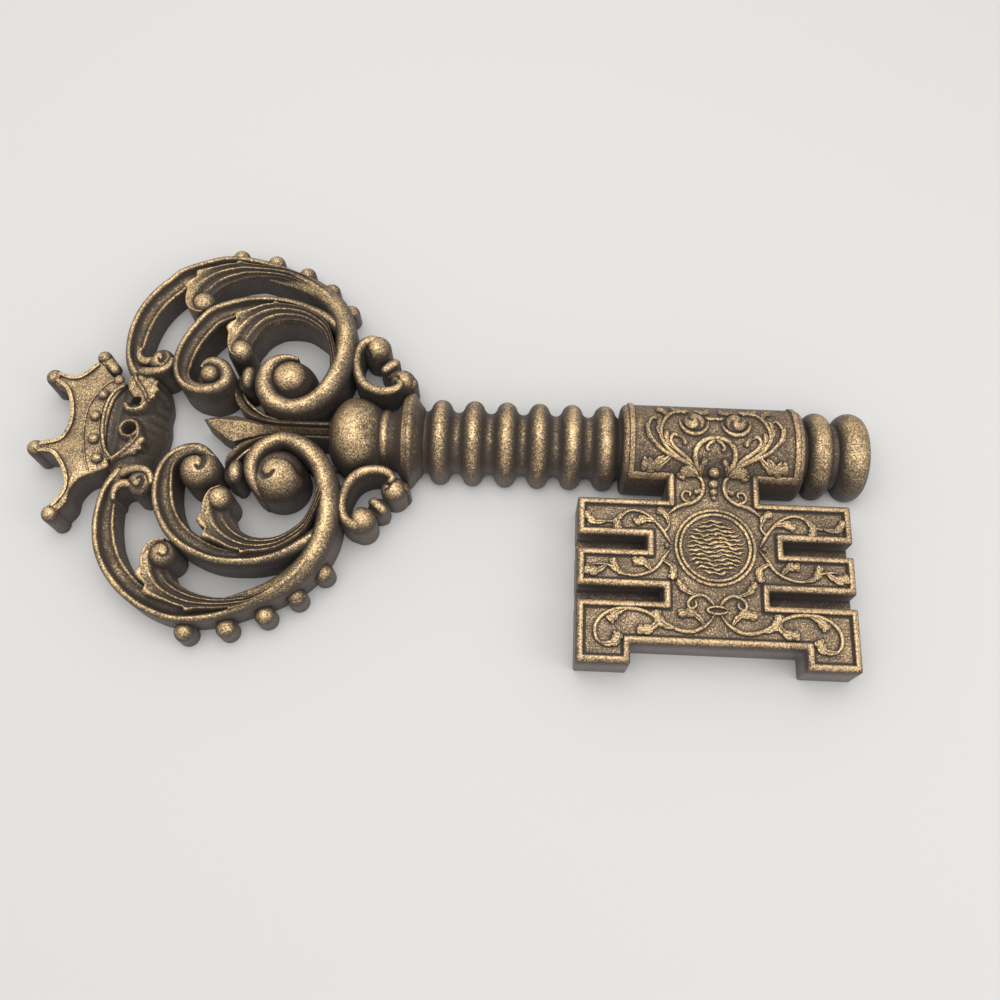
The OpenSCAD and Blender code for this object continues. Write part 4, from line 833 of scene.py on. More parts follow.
def cabochon(x, y, r):
    """A round rosette on the barrel: a swirled boss in a cup of petals."""
    rings, wear_and_shading = [], []
    for a in np.linspace(-0.4, np.pi / 2 * 0.97, 12):
        q, h, shade = r * 0.78 * np.cos(a), 2.4 * np.sin(a), 0.1 + 0.9 * max(np.sin(a), 0)
        ring, shades = [], []
        for t in np.linspace(0, 2 * np.pi, 56, endpoint=False):
            swirl = 0.5 + 0.5 * np.sin(2 * t + q * 0.9)
            cut = 0.9 * max(0.0, swirl - 0.7) / 0.3 * min(1.0, q / 1.5)
            ring.append(on_barrel(x + q * np.cos(t), y + q * np.sin(t), h - cut))
            shades.append(shade - 1.3 * cut)
        rings.append(ring)
        wear_and_shading.append(shades)
    cup = [(x + r * np.cos(t), y + r * np.sin(t)) for t in np.linspace(np.radians(165), np.radians(360), 30)]
    wide = 2.6 * np.sin(np.pi * np.clip(np.linspace(0, 1, len(cup)), 0.05, 0.95)) ** 0.6
    return [skin(rings, np.clip(wear_and_shading, -1, 1)), relief(on_barrel, cup, wide, wide * 0.7)]


ROSETTE_LEAVES = [
    (-12, 12.4, -20, 14.4, 0.1, 3.2, 3, 1, 1), (-9, 12.8, -3, 13.4, -0.2, 3.0, 2, 1, 1)]
ROSETTE_STEM = [(-4.4, 9), (-2.6, 8), (0.4, 8.4)]
rosette = cabochon(-10, 6.2, 6.8) + foliage(on_barrel, ROSETTE_H, [], ROSETTE_LEAVES)
rosette += foliage(on_barrel, ROSETTE_H, [(ROSETTE_STEM, 1.8, 0.9)], [])
make("barrel_rosettes", rosette + flipped(rosette), "barrel_cabochons")


# Bow. Each piece is drawn on the upper side. The lower one is its mirror image, or has its own drawing.

def pair(name, node, upper, lower=None):
    make(name + "_upper", upper, node + "_upper")
    make(name + "_lower", mirrored(lower or upper), node + "_lower")


OUTER = [
    (-77.5, 35.2, 0.8, 1.0, -2.6, 1), (-82, 36.2, 1.5, 1.8, -2.0, 1), (-87, 34.8, 2.4, 2.8, -1.0, 1),
    (-91, 31.2, 3.3, 4.0, -0.3, 1), (-93, 26, 4.1, 4.8, 0, 1), (-92.8, 20, 4.5, 5.2, 0, 1),
    (-90.5, 14.8, 4.5, 5.4, 0, 1), (-86, 10.8, 4, 5.4, 0, 1), (-79, 8.5, 4, 5.2, 0, 1),
    (-70.5, 11.5, 5, 4, 0, 1), (-63, 19, 6, 3.5, 0, 1), (-57.5, 30, 6, 4.5, 0, 1),
    (-55.5, 41, 5.5, 5, 0, 1), (-55.5, 51, 5.5, 5, 0, 1), (-58, 60, 5.5, 5, 0, 1), (-63, 69, 5.5, 5, 0, 1),
    (-70.5, 77, 5, 5.5, 0, 0.9), (-79.5, 83.5, 4, 6, 0, 0.7), (-90, 89, 3, 7, 0, 0.3),
    (-100, 93.5, 2.3, 8, 0, 0.05), (-111, 96, 2, 8.7, 0, 0), (-121, 96.5, 1.9, 8.7, 0, 0),
    (-130, 94.5, 1.9, 8.7, 0, 0), (-140, 90, 1.9, 8.7, 0, 0), (-149.5, 83, 1.9, 8.7, 0, 0),
    (-157, 74.5, 1.9, 8.7, 0, 0), (-162, 65.5, 1.9, 8.7, 0, 0), (-164.5, 57, 1.9, 8.5, 0, 0),
    (-165.3, 49.5, 2, 8, 0.2, 0), (-164.8, 41, 2, 7, 0.5, 0), (-163.2, 35, 2.4, 6.5, 1, 0.3),
    (-160.4, 29.6, 3, 6, 1.6, 0.7), (-157.5, 25.5, 3.2, 5, 1.8, 1)]
OUTER_LOW = [
    (-86, 36.6, 2, 2, -9.5, 1), (-89.4, 33.6, 2.6, 2.4, -5.5, 1), (-91.8, 29.8, 3.2, 2.8, -2.6, 1),
    (-93, 25.4, 3.9, 3, -0.8, 1), (-92.8, 20.4, 4.5, 3, 0, 1), (-90.5, 14.8, 4.5, 3.1, 0, 1),
    (-86, 10.8, 4, 3.2, 0, 1), (-79, 8.5, 4, 3.2, 0, 1)] + OUTER[9:]
INNER = [
    (-57, 50.5, 3, 3, -5, 1), (-61, 56, 3, 3, -2.5, 1), (-67.5, 61, 3, 3, -1.4, 1),
    (-76.5, 65.5, 2.8, 3.5, -1.2, 0.8), (-86, 68.5, 2.6, 4.5, -0.6, 0.4), (-96, 69.5, 2.5, 5.5, 0, 0.1),
    (-105.5, 69, 2.5, 6.5, 0, 0), (-114, 66.5, 2.5, 7.5, 0, 0), (-122, 62.5, 2.3, 8, 0, 0),
    (-129, 56, 2.2, 8, 0, 0), (-134.5, 47.5, 2, 8, 0.8, 0), (-137.5, 38.5, 2, 8, 1.8, 0),
    (-137.5, 29.5, 2, 7, 2.6, 0), (-134.5, 22, 2, 5, 3.0, 0.2), (-129, 17.2, 2.2, 4, 2.4, 0.6),
    (-122, 15.4, 2.6, 3.9, 1.2, 0.9), (-116, 16.4, 3.0, 3.9, 0.8, 1), (-111.8, 19.8, 3.2, 3.9, 0.8, 1),
    (-111, 24.6, 3.1, 3.9, 0.8, 1), (-113.2, 28.8, 2.9, 3.7, 0.8, 1), (-117.6, 31.2, 2.6, 3.0, 0.6, 1),
    (-121.8, 30.6, 2.0, 1.8, 0.4, 1), (-124.4, 28.0, 1.3, 1.2, 0.0, 1)]
INNER_LOW = INNER[:15] + [(-122, 15.4, 2.6, 3.4, 1.0, 0.9), (-116.6, 16.2, 2.2, 3.0, -0.6, 1),
                          (-112.4, 18.8, 1.4, 2.0, -3.6, 1)]
pair("outer_scroll_band", "outer_scroll", [scroll(OUTER)], [scroll(OUTER_LOW)])
pair("inner_scroll_band", "inner_scroll", [scroll(INNER)], [scroll(INNER_LOW)])

# The upper large volute is a small dome on a steep cone, the lower one a ball whose groove ends in a hook
HOOK_GROOVE = smooth([(-81.6, 26.6), (-83.4, 28.8), (-86.9, 29.0), (-89.3, 24.7), (-87.3, 19.6),
                      (-82.1, 16.9), (-73.6, 18.2), (-68.6, 23.8)], 5)
CONE = [
    (13, 0.0, -0.3), (12.8, 8, -0.3), (12, 14, -0.3), (10.6, 18.4, -0.2), (9.4, 20.6, 0), (8.6, 22.2, 0.3),
    (7.6, 24.2, 0.6), (5.5, 26.1, 0.9), (3, 27.2, 1.1), (0.3, 27.6, 1.1)]
hook_ball = dome(-81, 25.5, 13.5, 27.5, [(HOOK_GROOVE, (0.7, 2.4), (1.0, 3.2))], sides=120, rings=48)
pair("large_volute_ball", "large_boss", [lathe(-80.7, 25.4, smooth(CONE, 4))], [hook_ball])
SMALL_HOOK = smooth([(-118.6, 25.7), (-117.1, 26.7), (-115.2, 24.7), (-115.2, 20.8), (-118.4, 17.7),
                     (-124.8, 17.4)], 5)
small_eye = [dome(-118.5, 24.5, 10, 20, flat=0.5, rings=12), dome(-119.8, 24.9, 4.9, 27, flat=0.8, rings=24)]
small_ball = dome(-118.5, 24.5, 10, 27.5, [(SMALL_HOOK, (0.7, 1.8), (1.0, 2.6))], sides=96, rings=40)
pair("small_volute_ball", "small_boss", small_eye, [small_ball])
link = [dome(-101.4, 25.2, 3.7, 23.6, stretch=1.65), dome(-102.9, 25, 5.2, 17.5, flat=0.5)]
pair("link_barrel", "link_bead", link)
PEARLS = [(-117.3, 101.4), (-98.4, 98.8), (-81.2, 92.1), (-67.5, 82.8), (-56.2, 70.3)]
pair("rim_pearls", "rim_beads", [dome(x, y, 4.6, 12.8, sides=56) for x, y in PEARLS],
     [dome(x, y, 5, 13.5, sides=56) for x, y in PEARLS])
LEAF_RIDGES = 3
TIP_LEAN = np.array([-0.7, 0.0])


def leaf_blade(rows):
    """A leaf that curls round its bud. Each row is a point on the outer edge, one on the inner edge, the
    outer edge's height, how far the leaf has curled (0 is ridged, 1 is a rim with a cove beside the bud) and
    how far a tip stands out there."""
    t = np.linspace(0, 1, 49)
    sections, wear_and_shading = [], []
    for row in smooth(rows, 4):
        a, b, top, curl, tip = row[:2], row[2:4], row[4], np.clip(row[5], 0, 1), max(row[6], 0)
        swell = np.clip(np.linalg.norm(b - a) / 8, 0.3, 1.2)
        wave = np.cos(2 * np.pi * (LEAF_RIDGES * t - 0.14))
        ridged = 0.85 * swell * wave - 2.6 * swell * t ** 1.5
        inward = np.clip((t - 0.14) / 0.7, 0, 1)
        cove = -6.5 * inward * inward * (3 - 2 * inward) + 0.25 * wave * swell
        z = top + (1 - curl) * ridged + curl * cove
        z = z - 1.5 * (1 - np.sqrt(np.clip(t / 0.09, 0, 1)))
        z = z - 1.2 * (1 - np.sqrt(np.clip((1 - t) / 0.06, 0, 1)))
        xy = a + (b - a) * t[:, None]
        out = (a - b) / np.linalg.norm(a - b)
        reach = np.clip(1 - t / 0.24, 0, 1)[:, None] * tip
        xy = xy + reach * (out * 0.7 + TIP_LEAN)
        sections.append(np.vstack([[*xy[0], 0.0], np.column_stack([xy, z]), [*b, 0.0]]))
        shade = (1 - curl) * (0.35 + 0.75 * wave - 0.25 * t) + curl * (1.1 - 1.5 * inward + 0.12 * wave)
        wear_and_shading.append(np.concatenate([[-0.3], np.clip(shade, -0.5, 1.1), [-0.3]]))
    return skin(sections, wear_and_shading)


INNER_LEAF = [
    (-57.5, 36, -61.5, 32, 25.4, 0, 0), (-60.5, 45, -62.5, 40, 25.6, 0, 0), (-64, 54, -66, 49, 25.4, 0, 0),
    (-70.5, 60, -71.5, 54, 24.8, 0, 0), (-77, 63.8, -77.5, 57.3, 24.4, 0, 0),
    (-84, 65.6, -84, 58.2, 24.2, 0, 0), (-89, 66, -88, 57.9, 24.2, 0, 0),
    (-91.5, 66, -90, 57.5, 24.3, 0, 1.8), (-93.5, 65.8, -91.8, 56.8, 24.4, 0, 0),
    (-98, 65, -95.5, 54.5, 24.5, 0, 0), (-103, 62.8, -98.2, 51.8, 24.6, 0.15, 0),
    (-107.4, 60.2, -99.6, 49.4, 24.7, 0.3, 1.0), (-109.4, 58.4, -100.6, 47.8, 24.6, 0.4, 2.4),
    (-111, 56, -101.5, 46.2, 24.8, 0.55, 0), (-112.4, 53.4, -102.2, 44.2, 24.9, 0.7, 1.2),
    (-113.2, 50.6, -102.8, 42.6, 24.8, 0.8, 1.8), (-113.8, 48, -103.2, 41.6, 25, 0.9, 0),
    (-113.8, 45, -103.7, 40.6, 25.2, 1, 0), (-113.2, 40.5, -105, 39.6, 25.3, 1, 0),
    (-110.8, 36, -106, 38.6, 25.2, 1, 0), (-106, 33.8, -106.5, 37.5, 24.8, 1, 0)]
OUTER_LEAF = [
    (-62, 68.5, -65, 64.5, 22.6, 0, 0), (-66, 75.5, -68.5, 71, 21.2, 0, 0),
    (-78, 85, -77.5, 78.5, 19.4, 0, 0), (-86, 89, -84, 82.5, 18.6, 0, 0),
    (-91.5, 90.6, -88.6, 84.6, 18.4, 0, 0), (-94.2, 91, -91.8, 85.2, 18.6, 0, 2.2),
    (-96.6, 91.3, -94, 85.8, 18.4, 0, 0), (-100, 91.8, -98, 86.2, 18.4, 0, 0),
    (-105, 92.2, -104, 86.3, 18.4, 0, 0), (-111, 92.6, -109, 85.6, 18.8, 0, 0),
    (-114.2, 92.6, -112.2, 84.9, 19.0, 0, 2.0), (-117.2, 92.3, -114, 84.2, 18.8, 0, 0),
    (-121, 91.5, -117, 83, 19.2, 0.05, 0), (-126, 89.8, -120, 81.4, 19.6, 0.15, 0),
    (-130.5, 87.4, -123, 79.4, 20, 0.3, 1.2), (-133.5, 85.2, -124.6, 78, 20.2, 0.45, 2.4),
    (-135.8, 82.6, -125.6, 76.8, 20.6, 0.55, 0), (-137.6, 79.8, -126.3, 75.7, 21, 0.65, 1.0),
    (-138.7, 77, -127, 74.5, 21.2, 0.8, 1.8), (-139.3, 74.2, -127.4, 73.3, 21.6, 0.9, 0),
    (-139.6, 71, -128, 71.5, 22, 1, 0), (-139, 66.5, -128.8, 69.5, 22.4, 1, 0),
    (-137, 62.8, -129.5, 68, 22.6, 1, 0), (-133.5, 60.6, -130, 66.8, 22.6, 1, 0),
    (-129.2, 60.4, -130, 66, 22.4, 1, 0)]
BUD_GROOVE = [(-3.2, -4.2), (0.4, -4.6), (3.6, -2.4), (4.0, 1.2), (1.6, 3.0), (-0.6, 1.6)]
BUD_GROOVE = smooth(BUD_GROOVE, 5) + [-130, 67]
outer_bud = dome(-130, 67, 6.3, 24, sides=72, rings=30)
comma_bud = dome(-130, 67, 6.9, 24, [(BUD_GROOVE, (0.8, 0.5), (1.0, 0.7))], sides=72, rings=30)
outer_blade = leaf_blade(OUTER_LEAF)
pair("outer_acanthus", "outer_leaf", [outer_blade, outer_bud], [outer_blade, comma_bud])
inner_bud = dome(-107, 39.3, 6.3, 26, sides=72, rings=26)
pair("inner_acanthus", "inner_leaf", [leaf_blade(INNER_LEAF), inner_bud])

CURL_GROOVE = smooth([(-146.2, 32), (-144.8, 30.2), (-143.4, 33), (-144.6, 36.4), (-148, 37),
                      (-150.6, 34.2)], 5)
end_curl = [dome(-146, 33, 6.4, 24.6, [(CURL_GROOVE, (0.6, 1.3), (1.0, 2.2))], sides=80, rings=34),
            ridge([(-158.2, 28.4, 19, 2.6), (-153.4, 26.8, 21.6, 2.4), (-148.5, 26.2, 23.2, 2.1),
                   (-143.6, 27, 23.8, 1.9), (-140.6, 30.2, 23.6, 1.6), (-140.2, 34.2, 22.8, 1.2)]),
            ridge([(-158, 41.5, 18.6, 1.1), (-158.4, 37.2, 19.6, 1.5), (-156.4, 33.8, 20.4, 2.0),
                   (-152.8, 32.8, 20.8, 2.2), (-149.6, 34.2, 21, 1.8)])]
pair("scroll_end_curl", "end_curl", end_curl)

EAR = [
    (-28.2, 27.2, 20.6, 1.3), (-26.2, 25.2, 21, 1.7), (-28.4, 22.4, 21.4, 2.2), (-33, 21, 21.5, 2.4),
    (-39, 21.6, 21.5, 2.5), (-44.6, 25, 21.5, 2.5), (-48, 31, 21.5, 2.5), (-49.4, 37.6, 21.5, 2.5),
    (-48.8, 43.2, 21.5, 2.5), (-46, 47.6, 21.5, 2.6), (-42, 49.2, 21.6, 3), (-39, 47.6, 21.6, 3.6)]
pair("ear_ring", "ear_scroll", [ridge(EAR, 7, sides=16, lean=1.2)])
BALL_GROOVE = smooth([(-41.6, 51), (-44.4, 48.6), (-45.2, 44.6), (-43.4, 41)], 4)
HOOK = smooth([(-29.6, 30.6), (-28.0, 29.8), (-27.6, 27.8), (-29.6, 26.4)], 4)
ear_turnings = [dome(-39.5, 46, 6.9, 22, [(BALL_GROOVE, (0.7, 1.0), (0.8, 1.4))], sides=72, rings=30),
                dome(-32.6, 37.6, 5.2, 12.5, flat=0.4, sides=48, rings=12),
                ridge([(-36.9, 34.1, 15.8, 2.4), (-32.6, 37.6, 16.8, 2.7), (-28.3, 41.1, 15.8, 2.4)]),
                dome(-25.6, 29, 6.4, 19.6, [(HOOK, (0.6, 0.8), (0.8, 1.2))], sides=72, rings=30),
                ridge([(-25.6, 29, 18.4, 5.4), (-22.2, 27.8, 17.6, 5.0), (-19.8, 25, 16.8, 4.2)], 7,
                      lean=0.9)]
pair("ear_turning", "ear_baluster", ear_turnings)


# Fleur-de-lis: a faceted middle petal and two bent side petals

PETAL = [
    (-121.8, 3.7, -119.4, 2.2, -114.4, -2.8), (-116, 5.2, -114.2, 2.8, -110.6, -5.0),
    (-106.5, 6.3, -106, 2.3, -106, -6.9), (-100, 4.8, -99.4, 1.8, -100, -4.8),
    (-92, 2.6, -92, 0.8, -92, -2.6), (-80, 1.7, -80, 0.3, -80, -1.7), (-68, 1.5, -68, 0, -68, -1.5),
    (-57, 1.5, -57, 0, -57, -1.5)]
FACET_LOW, FACET_HIGH, KEEL_Z, KEEL_RISE = 15.6, 14.6, 16.2, 2.9
sections, wear_and_shading = [], []
straight = np.linspace(0, len(PETAL) - 1, 8 * (len(PETAL) - 1) + 1)
for row in np.column_stack([np.interp(straight, range(len(PETAL)), c) for c in np.array(PETAL).T]):
    edge, keel, under = row[:2], row[2:4], row[4:6]
    width = np.linalg.norm(edge - under)
    tall = KEEL_Z + KEEL_RISE * np.clip(width / 11, 0.3, 1)
    points, shades = [[*edge, 0]], [0]
    for p, q, zp, zq in ((edge, keel, FACET_LOW, tall), (keel, under, tall, FACET_HIGH)):
        for t in np.linspace(0, 1, 9)[(0 if p is edge else 1):]:
            dip = 0.15 * np.sin(np.pi * t)
            points.append([*(p + (q - p) * t), zp + (zq - zp) * t - dip])
            shades.append(0.75 + 0.25 * (t if p is edge else 1 - t))
    sections.append(points + [[*under, 0]])
    wear_and_shading.append(shades + [0])
fleur = [skin(sections, wear_and_shading)]
SIDE_OUT = [
    (-57.5, 3.0), (-73, 2.9), (-84, 3.0), (-91.2, 4.0), (-97.5, 5.8), (-103, 9.0), (-107, 13.8),
    (-108.4, 18), (-107.8, 22)]
SIDE_CREST = [
    (-57.5, 4.6), (-72, 4.4), (-84.2, 4.5), (-90, 5.0), (-94.6, 6.6), (-100.8, 10.4), (-105, 15.8),
    (-106.8, 19), (-107.2, 21.8)]
out_line, crest_line = smooth(SIDE_OUT, 5), smooth(SIDE_CREST, 5)
t = np.linspace(0, 1, 15)
sections, wear_and_shading = [], []
for i, (a, b) in enumerate(zip(out_line, crest_line)):
    width = np.linalg.norm(b - a)
    depth = np.clip(width * 0.35, 0.2, 1.5)
    z = 16.3 + 0.8 * t - depth * np.sin(np.pi * t) ** 0.8
    z[0] -= 0.5
    z[-1] -= 0.5
    xy = a + (b - a) * t[:, None]
    beyond = b + (b - a) / max(width, 0.2) * 0.9
    sections.append(np.vstack([[*a, 0], np.column_stack([xy, z]), [*beyond, 13.5], [*beyond, 0]]))
    wear_and_shading.append(np.concatenate([[0], 1 - 0.7 * np.sin(np.pi * t), [0.1, 0]]))
side = [skin(sections, wear_and_shading),
        ridge([(-85, 5.6, 14.5, 1.0), (-91.8, 7.4, 14.8, 1.1), (-96.8, 10.2, 15, 1.1),
               (-102.4, 15.3, 14.6, 1.0), (-105.6, 20.6, 13.6, 0.8)], lean=1.4)]
make("lily", fleur + side + mirrored(side), "fleur_de_lis")


# Crown

CROWN_LEFT = [
    (-178, 32.5), (-182.5, 27.5), (-186, 24.5), (-190.5, 24), (-197, 25.5), (-198, 20.5), (-192, 16),
    (-188.5, 9), (-187, 1.5), (-187.6, -4.5), (-190.5, -10), (-199.5, -13), (-200, -18), (-193, -18.5),
    (-189, -22), (-185.7, -27), (-183.6, -32.5), (-184, -38.5), (-189, -46.5)]
CROWN_RIGHT = [
    (-184.5, -49), (-180.5, -43), (-180, -36.5), (-176, -30.5), (-171, -28), (-163.5, -24), (-165.5, -18),
    (-167.3, -10), (-168, 1.5), (-166.8, 11), (-164, 17.5), (-162, 20.5), (-167, 23), (-171.5, 26),
    (-174.5, 30)]


def slab(outline, rings):
    """A plate with rounded edges. Rings are inset, z, and wear with painted light and shade."""
    outline = np.array(outline, float)
    ahead, behind = np.roll(outline, -1, axis=0), np.roll(outline, 1, axis=0)
    along = ahead - behind
    along /= np.linalg.norm(along, axis=1)[:, None]
    inward = np.column_stack([-along[:, 1], along[:, 0]])
    area = np.sum(outline[:, 0] * ahead[:, 1] - ahead[:, 0] * outline[:, 1])
    inward *= np.sign(area)
    return skin([at_height(outline + inward * d, z) for d, z, _ in rings],
                [[w] * len(outline) for _, _, w in rings])


rim_line = smooth(CROWN_LEFT, 4)
rim_middle = (rim_line + left_of(rim_line) * 1.3)[1:-1]
crown = [slab(np.vstack([rim_line, smooth(CROWN_RIGHT, 4)]),
              [(0, 0, 0), (0, CROWN_H - 2.2, 0.2), (0.12, CROWN_H - 0.7, 0.5), (0.5, CROWN_H - 0.15, 0.75),
               (0.9, CROWN_H, 0.72)]),
         relief(on_crown, rim_middle, [2.1] * len(rim_middle), [1.0] * len(rim_middle), RIB)]
BEAD_LINE = [
    (-167.5, 22.6), (-171.9, 19.8), (-176.2, 13.2), (-178.4, 7.7), (-179.1, 0.8), (-178.4, -9.0),
    (-175.4, -20.7), (-173, -26.5)]
BAND_LINE = [
    (-162.5, 19.3), (-166.4, 16.8), (-168.8, 12.6), (-170.1, 6.8), (-170.2, -0.8), (-168.9, -9.0),
    (-166.4, -15.8), (-162, -20.8)]
for line, shift, crest, half, sunk in ((BEAD_LINE, 0, 0.55, 0.45, 1), (BAND_LINE, 0, 1.1, 0.95, 3),
                                       (BAND_LINE, 1.7, 0.45, 0.4, 1)):
    raised = [(x - shift, y, CROWN_H + crest, half) for x, y in line]
    crown.append(ridge(raised, bottom=CROWN_H - sunk, lean=1.2))
make("crown_plate_face", crown, "crown_plate")
pearls = [bead(-166.2, 22.4, CROWN_H - 0.2, 2.6, 0.7)]
pearls += [bead(x, y, CROWN_H + 0.2, 2.75, 0.95)
           for x, y in ((-172.2, 13.6), (-174.2, 2.0), (-172.9, -10.2), (-169.4, -20.3))]
make("crown_pearls", pearls, "crown_band_beads")
CROWN_MIDDLE = [-168.0, 0.0]
POSTS = [(-177, 36.2, 3.6, 17.4), (-199, 23, 4.2, 20), (-201, -15.5, 4.2, 20), (-187.5, -49, 4.2, 20)]
posts = []
for x, y, r, h in POSTS:
    reach = np.array(CROWN_MIDDLE) - [x, y]
    reach /= np.linalg.norm(reach)
    if h < CROWN_H:
        posts.append(ridge([(x, y, h - 1.6, 3.0), (-173, 31.8, h - 1, 3.4), (-169, 27.5, h - 0.6, 3.4)],
                           bottom=CROWN_H - 6))
    posts.append(dome(x, y, r, h, sides=56))
    posts.append(ridge([(x, y, h - 1.4, r * 0.78), (x + reach[0] * 4, y + reach[1] * 4, h - 1.6, r * 0.62),
                        (x + reach[0] * 9, y + reach[1] * 9, h - 1.8, 1.2)], bottom=CROWN_H - 6))
make("crown_ball_posts", posts, "crown_posts")


# Bracket: a sculpted block whose front is a height over each place. Rows of its edges are y, left and right.

BRACKET_EDGES = [
    (-27.4, -160, -154), (-26, -163.2, -149.5), (-22, -164.4, -146.6), (-17, -165.6, -144.4),
    (-12, -166.8, -142.8), (-6, -167.7, -141.4), (0, -168, -141), (6, -167.6, -141.9), (12, -166.5, -141.6),
    (17, -164.2, -142.6), (21, -162.1, -143.9), (24.4, -160, -145.5), (26.4, -155.5, -149.8)]
LOW_RING, HIGH_RING = (-156.2, -4.4), (-155.9, 11.4)
LOW_LEAF = [
    (-154.2, -8.2), (-150.8, -6.6), (-148.1, -8.4), (-148.1, -10.6), (-149.8, -11.8), (-148.7, -13.6),
    (-149.2, -15), (-151.2, -15.4), (-151.4, -17.4), (-154.4, -17.6), (-158, -19.4), (-162.6, -22.6),
    (-161.6, -20)]
HIGH_LEAF = [
    (-161.5, 25.5), (-155, 26.4), (-149.6, 25.6), (-146.2, 22.4), (-147, 20.2), (-145, 17.6), (-147, 16),
    (-146.4, 13.4), (-148.6, 12.4), (-149.6, 9.6), (-151.4, 6.4), (-154, 9.5), (-157.5, 13), (-160.5, 17),
    (-161.8, 21.5)]
SUNK_Z = 12.5


def over(polygon, points):
    """Distance from each point to a polygon's edge, below zero inside it."""
    closed = np.array(polygon + polygon[:1], float)
    gap, _ = distance_to(points, closed)
    inside = np.zeros(len(points), bool)
    for (x0, y0), (x1, y1) in zip(closed[:-1], closed[1:]):
        crosses = (y0 > points[:, 1]) != (y1 > points[:, 1])
        slope = (x1 - x0) * (points[:, 1] - y0) / (y1 - y0 + 1e-12) + x0
        inside ^= crosses & (points[:, 0] < slope)
    return np.where(inside, -gap, gap)


def bracket_front(points):
    """Height of the bracket's front, and its wear with painted light and shade."""
    x, y = points[:, 0], points[:, 1]
    fall = np.clip((x + 153) / 11, 0, 1)
    flutes = np.sin(y * 1.15 + x * 0.25) * fall
    z = 17.0 - 10.5 * fall ** 1.4 - 1.5 * np.exp(-((x + 163.5) / 2.2) ** 2) + 0.7 * flutes
    # Painted shade: the front darkens where it falls away towards the bow, with faint painted highlights on
    # the flutes
    shade = -0.15 - 0.6 * fall + 0.15 * flutes

    def lay(height, bright):
        nonlocal z, shade
        above = height > z
        shade = np.where(above, bright, shade)
        z = np.maximum(z, height)

    def rib(line, crest, half, drop=3.0):
        gap, _ = distance_to(points, smooth(line, 5))
        lay(crest - drop * (gap / half) ** 2, np.clip(1.05 - 0.9 * (gap / half), 0, 1))

    for polygon, top in ((LOW_LEAF, 19.4), (HIGH_LEAF, 19.2)):
        edge = over(polygon, points)
        veins = 0.12 * np.sin(x * 1.1 - y * 0.9)
        lay(top + veins - 0.8 * np.exp(np.minimum(edge, 0) / 0.7) - 5 * np.clip(edge, 0, 3) * (edge > 0),
            np.clip(0.75 + 0.5 * veins - 0.6 * (edge > 0), 0, 1))
    turn_by = np.linspace(0, 2 * np.pi, 30)
    circle = np.column_stack([np.cos(turn_by), np.sin(turn_by)])
    rib(LOW_RING + 4.2 * circle, 20.6, 1.7)
    rib([(-151.8, -4.2), (-151.2, -7.4), (-152.8, -11), (-157, -16), (-161.8, -20.6)], 20.8, 1.5)
    rib([(-160, 8.2), (-158.8, 6.4), (-156, 5.6), (-152.4, 6.6), (-150.6, 9.2)], 21.2, 2.0)
    rib([(-158.8, 26.6), (-156.6, 21.6), (-152.6, 16.6), (-150.4, 12.4)], 20.6, 1.6)
    for centre, size in ((LOW_RING, (3.1, 3.1)), (HIGH_RING, (3.0, 1.7))):
        gap = np.linalg.norm((points - centre) / size, axis=1)
        sunk = np.clip((1 - gap) / 0.25, 0, 1)
        z = z * (1 - sunk) + SUNK_Z * sunk
        # Painted shade in the sunken rings
        shade = shade * (1 - sunk) - 0.7 * sunk
    return z, shade


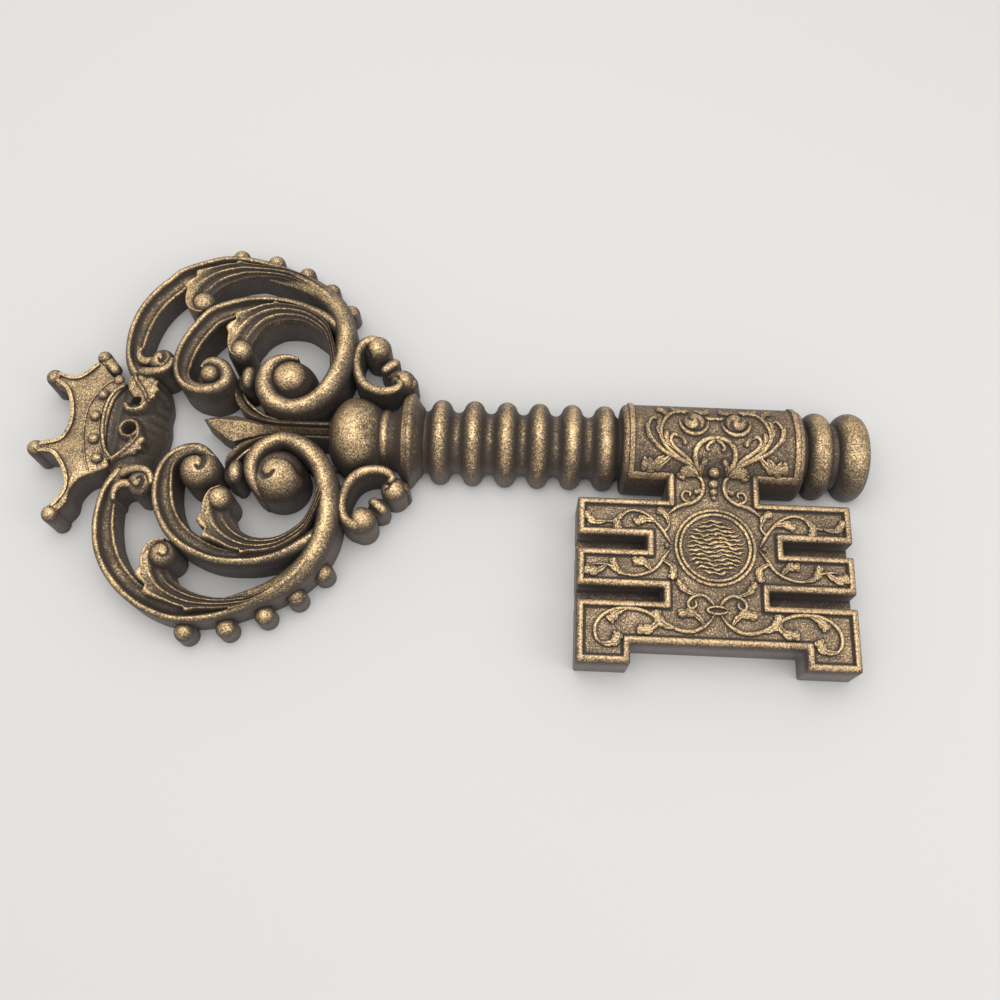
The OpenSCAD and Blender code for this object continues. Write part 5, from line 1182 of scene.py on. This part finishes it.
sections, wear_and_shading = [], []
for y, left, right in smooth(BRACKET_EDGES, 9):
    points = np.column_stack([np.linspace(left, right, 72), np.full(72, y)])
    z, shade = bracket_front(points)
    z[0] -= 0.6
    z[-1] -= 0.6
    sections.append(np.vstack([[left, y, 0], np.column_stack([points, z]), [right, y, 0]]))
    wear_and_shading.append(np.concatenate([[0], shade, [0]]))
make("crown_acanthus", [skin(sections, wear_and_shading)], "crown_bracket")


# Stage, lamps and camera

FLOOR_HALF, FLOOR_Z = 3, -0.0003
PAPER = (0.625, 0.62, 0.614, 1)
SKY, SKY_STRENGTH = (1.0, 0.985, 0.96, 1), 0.9
EYE, AIM = Vector((0.0349, -0.2111, 0.4836)), Vector((0.0272, -0.0330, 0.0215))
UP = Vector((-0.0428, 0.9991, 0))
LENS, SENSOR = 37.8, 36.0


def put_in(name, data):
    placed = bpy.data.objects.new(name, data)
    bpy.context.scene.collection.objects.link(placed)
    return placed


def lamp(name, size, watts, place):
    """A round soft lamp that points at the middle of the key."""
    light = bpy.data.lights.new(name, "AREA")
    light.shape = "DISK"
    light.size = size
    light.energy = watts
    placed = put_in(name, light)
    placed.location = place
    placed.rotation_euler = (-Vector(place)).to_track_quat("-Z", "Y").to_euler()


paper, _, shade_paper = new_material("paper")
shade_paper({"Base Color": PAPER, "Roughness": 0.9})
floor_mesh = bpy.data.meshes.new("floor")
corners = [(x * FLOOR_HALF, y * FLOOR_HALF, FLOOR_Z) for x, y in ((-1, -1), (1, -1), (1, 1), (-1, 1))]
floor_mesh.from_pydata(corners, [], [(0, 1, 2, 3)])
floor_mesh.materials.append(paper)
floor = put_in("floor", floor_mesh)

world = bpy.data.worlds.new("studio")
bpy.context.scene.world = world
world.use_nodes = True
world.node_tree.nodes["Background"].inputs["Color"].default_value = SKY
world.node_tree.nodes["Background"].inputs["Strength"].default_value = SKY_STRENGTH
lamp("softbox", size=0.9, watts=3.6, place=(-0.1, 0.12, 0.95))
lamp("side_fill", size=0.5, watts=1.2, place=(0.7, -0.3, 0.6))

camera = bpy.data.cameras.new("camera")
camera.lens = LENS
camera.sensor_width = SENSOR
ahead = (AIM - EYE).normalized()
right = ahead.cross(UP).normalized()
view = Matrix((right, right.cross(ahead), -ahead)).transposed().to_4x4()
view.translation = EYE
camera_object = put_in("camera", camera)
camera_object.matrix_world = view
bpy.context.scene.camera = camera_object
bpy.context.scene.view_settings.view_transform = "Standard"
